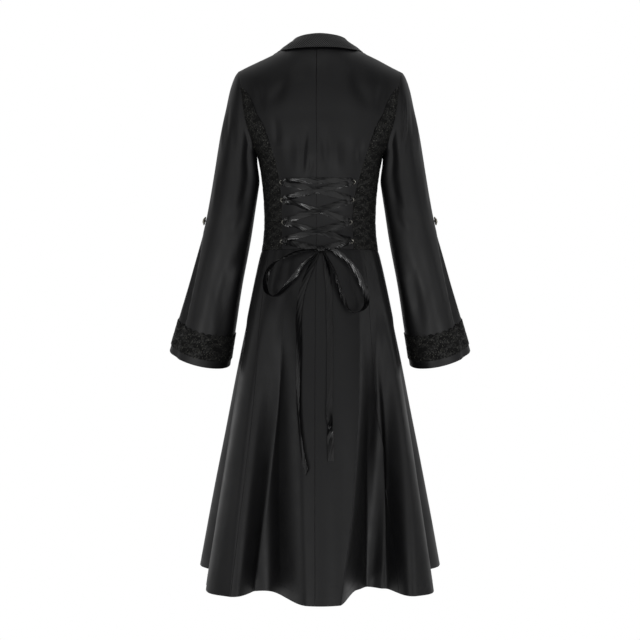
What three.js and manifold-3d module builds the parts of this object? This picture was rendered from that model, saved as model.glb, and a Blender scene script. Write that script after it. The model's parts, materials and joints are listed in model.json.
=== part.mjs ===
// A long black satin tailcoat with a laced back, filled out as if worn, in millimetres.
// +Z is up and the front faces -Y. The wearer's left is +X. The origin is midway between the
// shoulders at the height of the neck, where the wearer holds the coat.
import * as THREE from "three";
import { mergeVertices } from "three/addons/utils/BufferGeometryUtils.js";
import Module from "manifold-3d";

// Cloth and seams
const CLOTH = 1.8; // lined satin, and the brocade on its backing
const RIBBON = 0.9;
const SEAM = 0.4; // gap between two pieces at a seam
const REST = 0.5; // gap under a piece that lies on another

// Heights
const HEM = -1195;
const WAIST = -449; // lower edge of the brocade waistband, where the skirt begins
const BAND_TOP = -386; // waist seam of the side panels and fronts
const ARMPIT = -236;
const BLADE = -150; // above this the back and the fronts curve over to the shoulder seam
const BREAK = -246; // lowest point of the lapels
const LAPEL_TOP = -58; // their highest

// Neck and shoulders
const SHOULDER_LINE = -5; // y of the shoulder seam
const NECK = { half: 75, back: 65, rise: 30 };
const SHOULDER = { atNeck: 11.5, slope: 0.49 };
const OVER_SHOULDER = 0.91; // roundness of the cloth over the shoulder, 1 is an ellipse
const ROUND = 2.2; // roundness of the body rings, 2 is an ellipse
const OVERLAP = 10; // how far each front runs past the centre front

// Rings of the bodice. half is the half width, back and front the depths behind and before the side line.
const BODICE = [
  { at: WAIST, half: 132, back: 103, front: 94 },
  { at: -420, half: 128, back: 99, front: 91 },
  { at: BAND_TOP, half: 126, back: 97, front: 90 },
  { at: -340, half: 127.5, back: 99, front: 98 },
  { at: -290, half: 132, back: 104, front: 114 },
  { at: -255, half: 137.5, back: 108, front: 124 },
  { at: ARMPIT, half: 142, back: 109, front: 125 },
  { at: -221, half: 152, back: 109, front: 124 },
  { at: -177, half: 178, back: 109, front: 117 },
  { at: BLADE, half: 190, back: 108, front: 110 },
  { at: -60, half: 210, back: 106, front: 104 },
  { at: 0, half: 222, back: 104, front: 100 },
];
// The skirt runs nearly straight from the waist ring to this one. mid is the y of its side line, and
// spread under 1 lets the sides flare sooner.
const HEM_RING = { half: 272, back: 305, front: 225, mid: -80, spread: 0.88 };

// Folds of the skirt. top and hem are the angles from the centre back at the waist and the hem, with the
// wearer's left positive. near and far are the widths towards the centre back and away from it, deep is
// the depth at the hem, outwards positive, push its direction, and from the share of the skirt's length
// where the fold starts.
const SKIRT_FOLDS = [
  { name: "centre back", top: 4, hem: 0, near: 14, far: 14, deep: 8, push: 0, from: 0.2 },
  { name: "left valley", top: 32, hem: 24, near: 20, far: 19, deep: -95, push: 6, from: 0.1 },
  { name: "right valley, steep", top: -42, hem: -16, near: 8.5, far: 14, deep: -118, push: 0, from: 0.16 },
  { name: "right valley, far", top: -52, hem: -28, near: 13, far: 17, deep: -104, push: -4, from: 0.14 },
  { name: "left back lobe", top: 55, hem: 53, near: 15, far: 15, deep: 20, push: 58, from: 0.1 },
  { name: "right back lobe", top: -62, hem: -53, near: 14, far: 16, deep: 22, push: -56, from: 0.1 },
  { name: "left side valley", top: 86, hem: 85, near: 18, far: 18, deep: -48, push: 88, from: 0.2 },
  { name: "right side valley", top: -88, hem: -84, near: 17, far: 19, deep: -50, push: -88, from: 0.2 },
  { name: "left front lobe", top: 112, hem: 113, near: 22, far: 22, deep: 36, push: 106, from: 0 },
  { name: "right front lobe", top: -112, hem: -113, near: 22, far: 22, deep: 36, push: -106, from: 0 },
  { name: "left front valley", top: 142, hem: 147, near: 16, far: 16, deep: -30, push: 152, from: 0.2 },
  { name: "right front valley", top: -144, hem: -150, near: 16, far: 16, deep: -32, push: -154, from: 0.2 },
];
// Angles of the seams between the skirt's panels
const SKIRT_BACK_SEAM = [
  { at: HEM, left: 42, right: 37.5 }, { at: -963, left: 42.5, right: 37.5 },
  { at: -796, left: 43.5, right: 37 }, { at: -662, left: 47, right: 38 },
  { at: -567, left: 51, right: 40 }, { at: WAIST, left: 56, right: 44 },
];
const SKIRT_FRONT_SEAM = 118;
const OPEN_FRONT = 9; // degrees that each skirt front leaves open at the hem
// The centre seam of the back hangs a little towards the wearer's left, by an angle for each height.
const CENTRE_SEAM = [
  { at: HEM, turn: 1.5 }, { at: WAIST, turn: 2.7 }, { at: BLADE, turn: 1.8 }, { at: 0, turn: 1.3 },
];

// Distances from the centre line, by height: the two curved back seams, which hang a little towards the
// wearer's left like the centre seam, the armhole's edges, and the fronts' edge, which is the fold of the
// lapel above BREAK and runs past the centre below it.
const BACK_SEAM = [
  { at: WAIST, left: 85, right: 73 }, { at: BAND_TOP, left: 84, right: 72 },
  { at: -340, left: 85, right: 76 }, { at: -298, left: 90, right: 85.5 }, { at: -260, left: 97, right: 96 },
  { at: -227, left: 107, right: 107 }, { at: -204, left: 115.5, right: 115.5 },
  { at: -184, left: 122.5, right: 122.5 }, { at: -168, left: 130, right: 130 },
  { at: BLADE, left: 141, right: 141 }, { at: -130, left: 152, right: 152 },
  { at: -112, left: 163.5, right: 163.5 }, { at: -98, left: 173.4, right: 173.4 },
  { at: -90, left: 180, right: 180 }, { at: 0, left: 190, right: 190 },
];
const ARMHOLE_BACK = [
  { at: ARMPIT, x: 142 }, { at: -229, x: 144.5 }, { at: -221, x: 147 }, { at: -200, x: 153 },
  { at: -177, x: 160 }, { at: BLADE, x: 167 }, { at: -120, x: 172.5 }, { at: -80, x: 178 },
  { at: -40, x: 183 }, { at: 0, x: 187 },
];
const ARMHOLE_FRONT = [
  { at: ARMPIT, x: 142 }, { at: -229, x: 144 }, { at: -221, x: 145.5 }, { at: -200, x: 149 },
  { at: -177, x: 153 }, { at: BLADE, x: 158 }, { at: -120, x: 164 }, { at: -80, x: 172 },
  { at: -40, x: 181 }, { at: 0, x: 187 },
];
const FRONT_EDGE = [
  { at: WAIST, x: -OVERLAP }, { at: -278, x: -OVERLAP }, { at: -262, x: -6 }, { at: BREAK, x: 4 },
  { at: -200, x: 22 }, { at: -150, x: 38 }, { at: -100, x: 51 }, { at: -50, x: 63 }, { at: 0, x: NECK.half },
];
const LAPEL_EDGE = [
  { at: BREAK, x: 12 }, { at: -235, x: 34 }, { at: -200, x: 66 }, { at: -150, x: 97 },
  { at: -100, x: 119 }, { at: LAPEL_TOP, x: 130 },
];

// Rings of the left sleeve below the armhole, by the height of their middle. wide and deep are half
// widths, out and forward the lean of the arm in degrees.
const SLEEVE = [
  { at: -288, x: 189.5, y: -2, wide: 52.5, deep: 50, out: 11, forward: 3 },
  { at: -340, x: 198, y: -4, wide: 53, deep: 49, out: 11.5, forward: 5 },
  { at: -400, x: 209, y: -11, wide: 54.5, deep: 48.5, out: 12.5, forward: 9 },
  { at: -500, x: 233.5, y: -31, wide: 59, deep: 51, out: 14, forward: 14 },
  { at: -600, x: 258, y: -54, wide: 66, deep: 56, out: 15, forward: 16 },
  { at: -691, x: 280.5, y: -77, wide: 72.4, deep: 61, out: 15.2, forward: 18 },
];
const ELBOW = -391; // height of the button
// Heights of the edges of the cuff's brocade band, and its own cloth
const CUFF = { top: -618, bottom: -675, thick: 1.1 };
// The pleat that hangs from the button, at its angle round the sleeve, 0 at the back and 90 outside. It
// opens in the first share of the way to the hem, and is pressed nearly flat under the cuff's band.
const PLEAT = {
  top: 88, hem: 46, near: 13, far: 20, deep: 13, opened: 0.25, band: [0.6, 0.85], pressed: 0.7,
};
// How the sleeve leaves the armhole over the shoulder and under the arm, how far it swells to the back and
// the front, and how strongly it turns into the arm, as a share of its length there
const CAP = { top: [70, 0, -56], bottom: [6, 0, -50], swell: 16, arrive: 0.85 };

// Lacing: rings on the two back seams, ribbon between them, and a bow at the knot
const RING_ROWS = [
  { z: -302, left: 84, right: 73 }, { z: -341, left: 82, right: 70 },
  { z: -390, left: 79.5, right: 66 }, { z: -432, left: 83, right: 69 },
];
const RING = { radius: 4.2, wire: 0.8 };
// The ribbon is gathered up to near a ring and spreads to its width by far from it.
const LACE = { width: 12.5, gathered: 2.2, near: 8, far: 24, apart: 1.45, low: 1.6, high: 3.4 };
// How a stretch of lacing climbs out of its ring: distance from the ring's middle, and off the cloth
const CLIMB = [
  { out: 0.6, lift: 1.4 }, { out: 1.5, lift: 2.5 }, { out: 2.6, lift: 3.4 }, { out: 4.2, lift: 3.9 },
  { out: 7, lift: 3.9 }, { out: 10.5, lift: 3.3 },
];
const RIBBON_WIDTH = 13;
const KNOT = { x: -2, z: -452, lift: 9, wide: 9.5, tall: 7.5, deep: 6.5 };
// Bow and tails, down from the knot: place on the back, distance off it, and how far the ribbon's width
// stands out of the cloth's plane, in degrees.
const BOW_LEFT = [
  { x: 4.5, z: -452.5, lift: 11.5, stand: 55 }, { x: 28, z: -456, lift: 14, stand: 40 },
  { x: 52, z: -462, lift: 15, stand: 40 }, { x: 76, z: -472, lift: 16, stand: 50 },
  { x: 95, z: -485, lift: 15.5, stand: 52 }, { x: 107, z: -506, lift: 15, stand: 55 },
  { x: 112, z: -529, lift: 14, stand: 65 }, { x: 109, z: -547, lift: 13, stand: 80 },
  { x: 97, z: -554, lift: 12, stand: 88 }, { x: 84, z: -549, lift: 12, stand: 80 },
  { x: 69, z: -533, lift: 13, stand: 60 }, { x: 50, z: -511, lift: 14, stand: 40 },
  { x: 35, z: -490, lift: 15, stand: 38 }, { x: 3, z: -456.5, lift: 12, stand: 50 },
];
const BOW_RIGHT = [
  { x: -8.5, z: -452, lift: 11.5, stand: 55 }, { x: -28, z: -457, lift: 14, stand: 35 },
  { x: -43, z: -468, lift: 15, stand: 38 }, { x: -59, z: -484, lift: 16, stand: 45 },
  { x: -73, z: -504, lift: 16, stand: 50 }, { x: -85, z: -527, lift: 15, stand: 45 },
  { x: -93, z: -549, lift: 14, stand: 50 }, { x: -94, z: -571, lift: 13, stand: 75 },
  { x: -85, z: -585, lift: 12, stand: 88 }, { x: -70, z: -590, lift: 12, stand: 88 },
  { x: -58, z: -581, lift: 12, stand: 70 }, { x: -48, z: -560, lift: 13, stand: 45 },
  { x: -38, z: -533, lift: 14, stand: 35 }, { x: -29, z: -502, lift: 15, stand: 40 },
  { x: -7, z: -456.5, lift: 12, stand: 50 },
];
const TAIL_LEFT = [
  { x: 1.5, z: -456, lift: 6, stand: 10 }, { x: 19, z: -490, lift: 5, stand: 12 },
  { x: 37, z: -538, lift: 4, stand: 0 }, { x: 45, z: -596, lift: 4, stand: 0 },
  { x: 44, z: -660, lift: 4, stand: 10 }, { x: 45, z: -758, lift: 5, stand: 25 },
  { x: 43, z: -812, lift: 6, stand: 35 }, { x: 35, z: -889, lift: 6, stand: 40 },
  { x: 27, z: -926, lift: 6, stand: 40 },
];
const TAIL_RIGHT = [
  { x: -6, z: -456, lift: 6, stand: -10 }, { x: -14, z: -492, lift: 5, stand: -10 },
  { x: -19, z: -540, lift: 4, stand: 0 }, { x: -20, z: -596, lift: 4, stand: 0 },
  { x: -21, z: -650, lift: 4, stand: 10 }, { x: -20, z: -758, lift: 5, stand: 0 },
  { x: -19, z: -806, lift: 6, stand: 0 }, { x: -20, z: -834, lift: 9, stand: 48 },
  { x: -21, z: -858, lift: 6, stand: 10 }, { x: -22, z: -903, lift: 4, stand: 0 },
];

// Collar stations from the centre back round to the left front: where the stand meets the neckline, by
// distance along the back neck or by height on the front's edge, the top of the roll, and the fall's edge.
const COLLAR = [
  { back: 0, roll: [0, 58, 31], edge: [0, 76, -3] },
  { back: 38, roll: [33, 50, 29.5], edge: [39.5, 71, -3] },
  { back: 62, roll: [52, 32, 28], edge: [74, 50, -2.5] },
  { front: 0, roll: [62, 3, 26.5], edge: [90, 15, 3] },
  { front: -12, roll: [66, -16, 24], edge: [99, -19, 5.5] },
  { front: -27, roll: [67, -36, 17.5], edge: [107, -38, 6] },
  { front: -43, roll: [66, -52, 9], edge: [112, -54, 3] },
];
// The fold at the top of the collar: how far it stands in and out from its top, and how far down
const COLLAR_ROLL = { inside: 2.2, insideDrop: 3.6, outside: 4.7, outsideDrop: 4, belly: 2 };
const COLLAR_CLOTH = 1.4;

const BUTTON = { radius: 10, shank: 2.6, stand: 1.2, rim: 3.2, dome: 7 };
const FRONT_BUTTONS = [-288, -322, -356, -418];

const MATERIAL = {
  satin: new THREE.MeshStandardMaterial({ color: 0x1b1b1d, roughness: 0.45, metalness: 0 }),
  brocade: new THREE.MeshStandardMaterial({ color: 0x141414, roughness: 0.75, metalness: 0 }),
  collar: new THREE.MeshStandardMaterial({ color: 0x2a2a2b, roughness: 0.6, metalness: 0 }),
  ribbon: new THREE.MeshStandardMaterial({ color: 0x232329, roughness: 0.3, metalness: 0 }),
  metal: new THREE.MeshStandardMaterial({ color: 0x9b978a, roughness: 0.35, metalness: 1 }),
};

const rad = THREE.MathUtils.degToRad;
const deg = THREE.MathUtils.radToDeg;
const mix = THREE.MathUtils.lerp;
const ease = THREE.MathUtils.smoothstep;
const vec = (x, y, z) => new THREE.Vector3(x, y, z);
const power = (x, p) => Math.sign(x) * Math.abs(x) ** p;
const steps = (n) => Array.from({ length: n + 1 }, (_, i) => i / n);

// A column of a table at any height: a cubic through its rows that never overshoots them.
function read(table, column, at) {
  const rows = table[0].at < table[table.length - 1].at ? table : [...table].reverse();
  const last = rows.length - 1;
  if (at <= rows[0].at) return rows[0][column];
  if (at >= rows[last].at) return rows[last][column];
  const slope = (i) => (rows[i + 1][column] - rows[i][column]) / (rows[i + 1].at - rows[i].at);
  const tangent = (i) => {
    if (i === 0) return slope(0);
    if (i === last) return slope(last - 1);
    const a = slope(i - 1);
    const b = slope(i);
    return a * b <= 0 ? 0 : (2 * a * b) / (a + b);
  };
  const i = rows.findIndex((row, k) => at < rows[k + 1].at);
  const h = rows[i + 1].at - rows[i].at;
  const t = (at - rows[i].at) / h;
  return (
    (2 * t ** 3 - 3 * t ** 2 + 1) * rows[i][column] + (t ** 3 - 2 * t ** 2 + t) * h * tangent(i) +
    (3 * t ** 2 - 2 * t ** 3) * rows[i + 1][column] + (t ** 3 - t ** 2) * h * tangent(i + 1)
  );
}

// Height of the shoulder seam, and of the line that it would follow under the neck
function shoulderTop(x) {
  const out = Math.abs(x) / NECK.half;
  if (out >= 1) return SHOULDER.atNeck - SHOULDER.slope * (Math.abs(x) - NECK.half);
  return SHOULDER.atNeck + NECK.rise * (1 - out ** 2);
}

// One side of a fold's rounded bump, 1 in its middle and 0 past its width
const bump = (s) => (Math.abs(s) >= 1 ? 0 : Math.cos((Math.PI / 2) * s) ** 2);

function skirt(turn, height) {
  const down = (WAIST - height) / (WAIST - HEM);
  const top = BODICE[0];
  const half = mix(top.half, HEM_RING.half, Math.max(0, down) ** HEM_RING.spread);
  const behind = Math.cos(rad(turn)) >= 0 ? "back" : "front";
  const depth = mix(top[behind], HEM_RING[behind], down);
  const p = vec(
    half * power(Math.sin(rad(turn)), 2 / ROUND),
    HEM_RING.mid * down + depth * power(Math.cos(rad(turn)), 2 / ROUND),
    height,
  );
  for (const fold of SKIRT_FOLDS) {
    const share = Math.max(0, (down - fold.from) / (1 - fold.from));
    const off = turn - mix(fold.top, fold.hem, down);
    const inward = off * (Math.sign(fold.hem) || 1) < 0;
    const size = fold.deep * share * bump(off / (inward ? fold.near : fold.far));
    p.x += size * Math.sin(rad(fold.push));
    p.y += size * Math.cos(rad(fold.push));
  }
  return p;
}

// The coat's body: turn is the angle from the centre back in degrees, the wearer's left positive.
// Above BLADE, height only counts rows: the cloth curves from there to the shoulder seam or the neckline.
function body(turn, height) {
  if (height < WAIST) return skirt(turn, height);
  const s = Math.sin(rad(turn));
  const c = Math.cos(rad(turn));
  const behind = c >= 0;
  const x = read(BODICE, "half", height) * power(s, 2 / ROUND);
  const y = read(BODICE, behind ? "back" : "front", height) * power(c, 2 / ROUND);
  if (height <= BLADE) return vec(x, y, height);
  let end = Math.PI / 2;
  if (behind && Math.abs(x) < NECK.half) {
    const rim = NECK.back * Math.sqrt(1 - (x / NECK.half) ** 2);
    end = Math.acos((rim / (y - SHOULDER_LINE)) ** (1 / OVER_SHOULDER));
  }
  const angle = Math.min(end, ((height - BLADE) / -BLADE) * end);
  return vec(
    x,
    SHOULDER_LINE + (y - SHOULDER_LINE) * Math.max(0, Math.cos(angle)) ** OVER_SHOULDER,
    BLADE + (shoulderTop(x) - BLADE) * Math.sin(angle) ** OVER_SHOULDER,
  );
}

// The angle at which a line at distance x from the centre crosses a body ring
function turnAt(x, height) {
  const half = height < WAIST ? BODICE[0].half : read(BODICE, "half", height);
  return deg(Math.asin(Math.min(1, Math.abs(x) / half) ** (ROUND / 2))) * (Math.sign(x) || 1);
}

const backSeam = (word) => (h) => Math.min(turnAt(read(BACK_SEAM, word, h), h), backArmhole(h));
const backArmhole = (h) => (h <= ARMPIT ? 90 : turnAt(read(ARMHOLE_BACK, "x", h), h));
const frontArmhole = (h) => (h <= ARMPIT ? 90 : 180 - turnAt(read(ARMHOLE_FRONT, "x", h), h));
const frontEdge = (h) => {
  if (h >= WAIST) return 180 - turnAt(read(FRONT_EDGE, "x", h), h);
  return mix(180 + turnAt(OVERLAP, WAIST), 180 - OPEN_FRONT, (WAIST - h) / (WAIST - HEM));
};
const lapelEdge = (h) => 180 - turnAt(read(LAPEL_EDGE, "x", h), h);

// The right front lies over the left one where they overlap.
const overlapLift = (x) => (CLOTH + 2 * REST) * (1 - ease(Math.abs(x), OVERLAP + 14, OVERLAP + 38));

// A point of the left sleeve below the cap, at an angle round it
function sleeveRing(angle, height) {
  const get = (column) => read(SLEEVE, column, height);
  const out = rad(get("out"));
  const forward = rad(get("forward"));
  const down = vec(Math.sin(out), -Math.sin(forward), -Math.cos(out) * Math.cos(forward)).normalize();
  const outward = vec(Math.cos(out), 0, Math.sin(out));
  const backward = outward.clone().cross(down).normalize();
  const below = Math.min(1, Math.max(0, (ELBOW - 20 - height) / (ELBOW - 20 - SLEEVE[SLEEVE.length - 1].at)));
  const off = angle - mix(PLEAT.top, PLEAT.hem, Math.sqrt(below));
  const open = ease(below, 0, PLEAT.opened) * (1 - PLEAT.pressed * ease(below, ...PLEAT.band));
  const pleat = 1 - (PLEAT.deep * open * bump(off / (off < 0 ? PLEAT.near : PLEAT.far))) / get("wide");
  return vec(get("x"), get("y"), height)
    .addScaledVector(outward, get("wide") * Math.sin(rad(angle)) * pleat)
    .addScaledVector(backward, get("deep") * Math.cos(rad(angle)) * pleat);
}

// The left sleeve. round runs from the armpit up the back of the armhole, over the shoulder at 0.5 and
// down its front to 1. along is 0 at the armhole and 1 at the top ring, and each further 1 is the whole
// way down to the cuff.
const LOOP = [ARMPIT, -227, -211, -190, BLADE, -112, -86, -58, -28, 0];
function armhole(around) {
  const round = (around + 1) % 1;
  const share = (round <= 0.5 ? round : 1 - round) * 2 * (LOOP.length - 1);
  const i = Math.min(LOOP.length - 2, Math.floor(share));
  const height = mix(LOOP[i], LOOP[i + 1], share - i);
  return body(round <= 0.5 ? backArmhole(height) : frontArmhole(height), height);
}
function sleeve(round, along) {
  const angle = -90 + 360 * round;
  if (along >= 1) {
    const cuff = SLEEVE[SLEEVE.length - 1].at;
    return sleeveRing(angle, mix(SLEEVE[0].at, cuff, along - 1));
  }
  const from = armhole(round);
  const to = sleeveRing(angle, SLEEVE[0].at);
  const high = ease(from.z, ARMPIT, -60);
  const leave = vec(...CAP.bottom).lerp(vec(...CAP.top), high);
  leave.y += CAP.swell * Math.cos(rad(angle));
  const step = 1e-3;
  const arrive = sleeveRing(angle, SLEEVE[0].at - 1).sub(to).normalize();
  arrive.multiplyScalar(from.distanceTo(to) * CAP.arrive);
  const t = Math.max(along, step);
  return vec(0, 0, 0)
    .addScaledVector(from, 2 * t ** 3 - 3 * t ** 2 + 1)
    .addScaledVector(leave, t ** 3 - 2 * t ** 2 + t)
    .addScaledVector(to, 3 * t ** 2 - 2 * t ** 3)
    .addScaledVector(arrive, t ** 3 - t ** 2);
}

// Outward or inward normal of a face, from two short steps across and along it
function normalOf(face, u, v) {
  const e = 2e-3;
  const across = face(u + e, v).sub(face(u - e, v));
  const along = face(u, v + e).sub(face(u, v - e));
  return across.cross(along).normalize();
}

// A closed wall between two grids of points, outer[row][column] and inner[row][column]
function closed(outer, inner) {
  const rows = outer.length;
  const columns = outer[0].length;
  const points = [...outer.flat(), ...inner.flat()];
  const at = (row, column) => row * columns + column;
  const under = rows * columns;
  const index = [];
  const quad = (a, b, c, d) => index.push(a, b, c, a, c, d);
  for (let r = 0; r + 1 < rows; r += 1) {
    for (let c = 0; c + 1 < columns; c += 1) {
      quad(at(r, c), at(r, c + 1), at(r + 1, c + 1), at(r + 1, c));
      quad(under + at(r, c), under + at(r + 1, c), under + at(r + 1, c + 1), under + at(r, c + 1));
    }
  }
  const rim = [
    ...Array.from({ length: columns }, (_, c) => at(0, c)),
    ...Array.from({ length: rows - 1 }, (_, r) => at(r + 1, columns - 1)),
    ...Array.from({ length: columns - 1 }, (_, c) => at(rows - 1, columns - 2 - c)),
    ...Array.from({ length: rows - 2 }, (_, r) => at(rows - 2 - r, 0)),
  ];
  rim.forEach((a, i) => {
    const b = rim[(i + 1) % rim.length];
    quad(b, a, under + a, under + b);
  });
  const volume = index.reduce((sum, _, i) => {
    if (i % 3) return sum;
    const [a, b, c] = [points[index[i]], points[index[i + 1]], points[index[i + 2]]];
    return sum + a.dot(b.clone().cross(c));
  }, 0);
  for (let i = 0; volume < 0 && i < index.length; i += 3) {
    [index[i], index[i + 1]] = [index[i + 1], index[i]];
  }
  const geometry = new THREE.BufferGeometry().setFromPoints(points);
  geometry.setIndex(index);
  return geometry;
}

// Moves the rim of a grid towards its inside, so that two pieces stand apart at their seam
function trimmed(grid, by) {
  const last = grid.length - 1;
  const end = grid[0].length - 1;
  const pull = (from, to) => from.clone().add(to.clone().sub(from).setLength(by));
  const wide = grid.map((row) => [pull(row[0], row[1]), ...row.slice(1, end), pull(row[end], row[end - 1])]);
  return wide.map((row, r) => {
    if (r === 0) return row.map((p, c) => pull(p, wide[1][c]));
    if (r === last) return row.map((p, c) => pull(p, wide[last - 1][c]));
    return row;
  });
}

// A cloth piece: face(u, v) is its cut, with u across and v along, both from 0 to 1. outwards is 1 or -1,
// whichever makes the face's normal point away from the wearer, and lift(p) moves it off its face.
function cloth(face, across, along, { outwards = 1, lift = () => 0, thick = CLOTH } = {}) {
  const outer = [];
  const inner = [];
  for (const v of along) {
    const made = across.map((u) => {
      const p = face(u, v);
      const n = normalOf(face, u, v).multiplyScalar(outwards);
      return [p.clone().addScaledVector(n, lift(p)), p.clone().addScaledVector(n, lift(p) - thick)];
    });
    outer.push(made.map((pair) => pair[0]));
    inner.push(made.map((pair) => pair[1]));
  }
  return closed(trimmed(outer, SEAM / 2), trimmed(inner, SEAM / 2));
}

const coat = new THREE.Group();
function add(name, geometry, material) {
  const mesh = new THREE.Mesh(geometry, material);
  mesh.name = name;
  coat.add(mesh);
}

// Rows of the bodice and the skirt, shared by neighbouring panels so that their seams match
const WAIST_ROWS = [WAIST, -427, -406, BAND_TOP];
const BODICE_ROWS = [BAND_TOP, -348, -308, -275, -252, ARMPIT, -227, -211, -190, -170, BLADE];
const SHOULDER_ROWS = [-130, -112, -98, -86, -58, -28, 0];
const SKIRT_ROWS = [HEM, -1120, -1040, -955, -870, -828, -785, -700, -625, -560, -500, WAIST];
const SIDE_TOP_ROWS = SHOULDER_ROWS.slice(0, 3); // where the side back meets the armhole
const LAPEL_ROWS = [BREAK, ARMPIT, -227, -211, -190, -170, BLADE, -130, -112, -98, -86, LAPEL_TOP];

// A panel of the coat's body between two edges, each an angle by height, with the wearer's side as side
function bodyPanel(name, material, side, rows, columns, from, to, lift) {
  const face = (u, v) => {
    const share = v * (rows.length - 1);
    const i = THREE.MathUtils.clamp(Math.floor(share), 0, rows.length - 2);
    const height = mix(rows[i], rows[i + 1], share - i);
    return body(side * mix(from(height), to(height), u), height);
  };
  add(name, cloth(face, steps(columns), steps(rows.length - 1), { outwards: -side, lift }), material);
}

for (const [word, side] of [["left", 1], ["right", -1]]) {
  const over = side < 0 ? (p) => overlapLift(Math.min(0, p.x)) : undefined;
  const toBack = [...WAIST_ROWS, ...BODICE_ROWS.slice(1), ...SHOULDER_ROWS];
  const toSide = [...BODICE_ROWS, ...SIDE_TOP_ROWS];
  const toFront = [...BODICE_ROWS, ...SHOULDER_ROWS];
  const centre = (h) => side * read(CENTRE_SEAM, "turn", h);
  bodyPanel(`back_${word}`, MATERIAL.satin, side, toBack, 7, centre, backSeam(word));
  bodyPanel(`side_back_${word}`, MATERIAL.brocade, side, toSide, 4, backSeam(word), backArmhole);
  bodyPanel(`front_${word}`, MATERIAL.satin, side, toFront, 8, frontArmhole, frontEdge, over);
  bodyPanel(`waistband_${word}`, MATERIAL.brocade, side, WAIST_ROWS, 14, backSeam(word), frontEdge, over);
  const behind = (h) => read(SKIRT_BACK_SEAM, word, h);
  const before = () => SKIRT_FRONT_SEAM;
  bodyPanel(`skirt_back_${word}`, MATERIAL.satin, side, SKIRT_ROWS, 12, centre, behind);
  bodyPanel(`skirt_side_${word}`, MATERIAL.satin, side, SKIRT_ROWS, 15, behind, before);
  bodyPanel(`skirt_front_${word}`, MATERIAL.satin, side, SKIRT_ROWS, 11, before, frontEdge, over);
  const turned = (p) => CLOTH + 2 * REST + (over ? over(p) : 0);
  bodyPanel(`lapel_${word}`, MATERIAL.collar, side, LAPEL_ROWS, 5, lapelEdge, frontEdge, turned);
}

// Each sleeve is a back and a front half, joined under the arm and down the outside.
const sleeveFace = (side, from, to, start, end) => (u, v) => {
  const p = sleeve(mix(from, to, u), mix(start, end, v));
  return vec(side * p.x, p.y, p.z);
};
const cuffAlong = (height) => 1 + (height - SLEEVE[0].at) / (SLEEVE[SLEEVE.length - 1].at - SLEEVE[0].at);
const CUFF_ALONG = [CUFF.top, (CUFF.top + CUFF.bottom) / 2, CUFF.bottom].map(cuffAlong);
const SLEEVE_ALONG = [0, 0.14, 0.32, 0.54, 0.77, 1, 1.14, 1.28, 1.42, 1.56, 1.69, ...CUFF_ALONG, 2];
for (const [word, side] of [["left", 1], ["right", -1]]) {
  for (const [half, from, to] of [["back", 0, 0.5], ["front", 0.5, 1]]) {
    const face = sleeveFace(side, from, to, 0, 2);
    const rows = SLEEVE_ALONG.map((v) => v / 2);
    const options = { outwards: side };
    add(`sleeve_${half}_${word}`, cloth(face, steps(LOOP.length - 1), rows, options), MATERIAL.satin);
    const cuff = sleeveFace(side, from, to, CUFF_ALONG[0], CUFF_ALONG[2]);
    const band = { outwards: side, lift: () => CUFF.thick + REST, thick: CUFF.thick };
    add(`cuff_${half}_${word}`, cloth(cuff, steps(LOOP.length - 1), steps(2), band), MATERIAL.brocade);
  }
}

// The collar's cross-section runs up the stand, over the roll and down the fall.
function collarFoot(station) {
  const onEdge = "front" in station;
  const p = onEdge ? body(frontEdge(station.front), station.front) : body(turnAt(station.back, 0), 0);
  return p.add(vec(0, 0, 2 * REST));
}
const bothSides = (points) => {
  const mirrored = points.slice(1).reverse().map((p) => vec(-p.x, p.y, p.z));
  return new THREE.CatmullRomCurve3([...mirrored, ...points], false, "centripetal");
};
const COLLAR_LINES = [
  bothSides(COLLAR.map(collarFoot)),
  bothSides(COLLAR.map((s) => vec(...s.roll))),
  bothSides(COLLAR.map((s) => vec(...s.edge))),
];
function collarFace(round, over) {
  const share = THREE.MathUtils.clamp(round, 0, 1);
  const [foot, roll, edge] = COLLAR_LINES.map((line) => line.getPoint(share));
  const out = vec(edge.x - foot.x, edge.y - foot.y, 0).normalize();
  const off = (from, by, down) => from.clone().addScaledVector(out, by).add(vec(0, 0, -down));
  const inside = off(roll, -COLLAR_ROLL.inside, COLLAR_ROLL.insideDrop);
  const outside = off(roll, COLLAR_ROLL.outside, COLLAR_ROLL.outsideDrop);
  const middle = off(outside.clone().lerp(edge, 0.5), COLLAR_ROLL.belly, -1);
  const path = [foot, foot.clone().lerp(inside, 0.5), inside, roll, outside, middle, edge];
  return new THREE.CatmullRomCurve3(path, false, "centripetal").getPoint(THREE.MathUtils.clamp(over, 0, 1));
}
const COLLAR_OVER = [0, 0.2, 0.36, 0.45, 0.52, 0.6, 0.7, 0.84, 1];
const collarOptions = { outwards: -1, thick: COLLAR_CLOTH };
add("collar", cloth(collarFace, steps(24), COLLAR_OVER, collarOptions), MATERIAL.collar);

// A point of the coat's body with the normal that points away from the wearer
function frameAt(turn, height) {
  const step = 0.5;
  const across = body(turn + step, height).sub(body(turn - step, height));
  const up = body(turn, height + step).sub(body(turn, height - step));
  return { point: body(turn, height), normal: up.cross(across).normalize() };
}

// The same at distance x from the centre of the back
function onBack(x, z) {
  let low = -80;
  let high = 80;
  for (let i = 0; i < 40; i += 1) {
    const middle = (low + high) / 2;
    if (body(middle, z).x < x) low = middle;
    else high = middle;
  }
  return frameAt(low, z);
}

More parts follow.
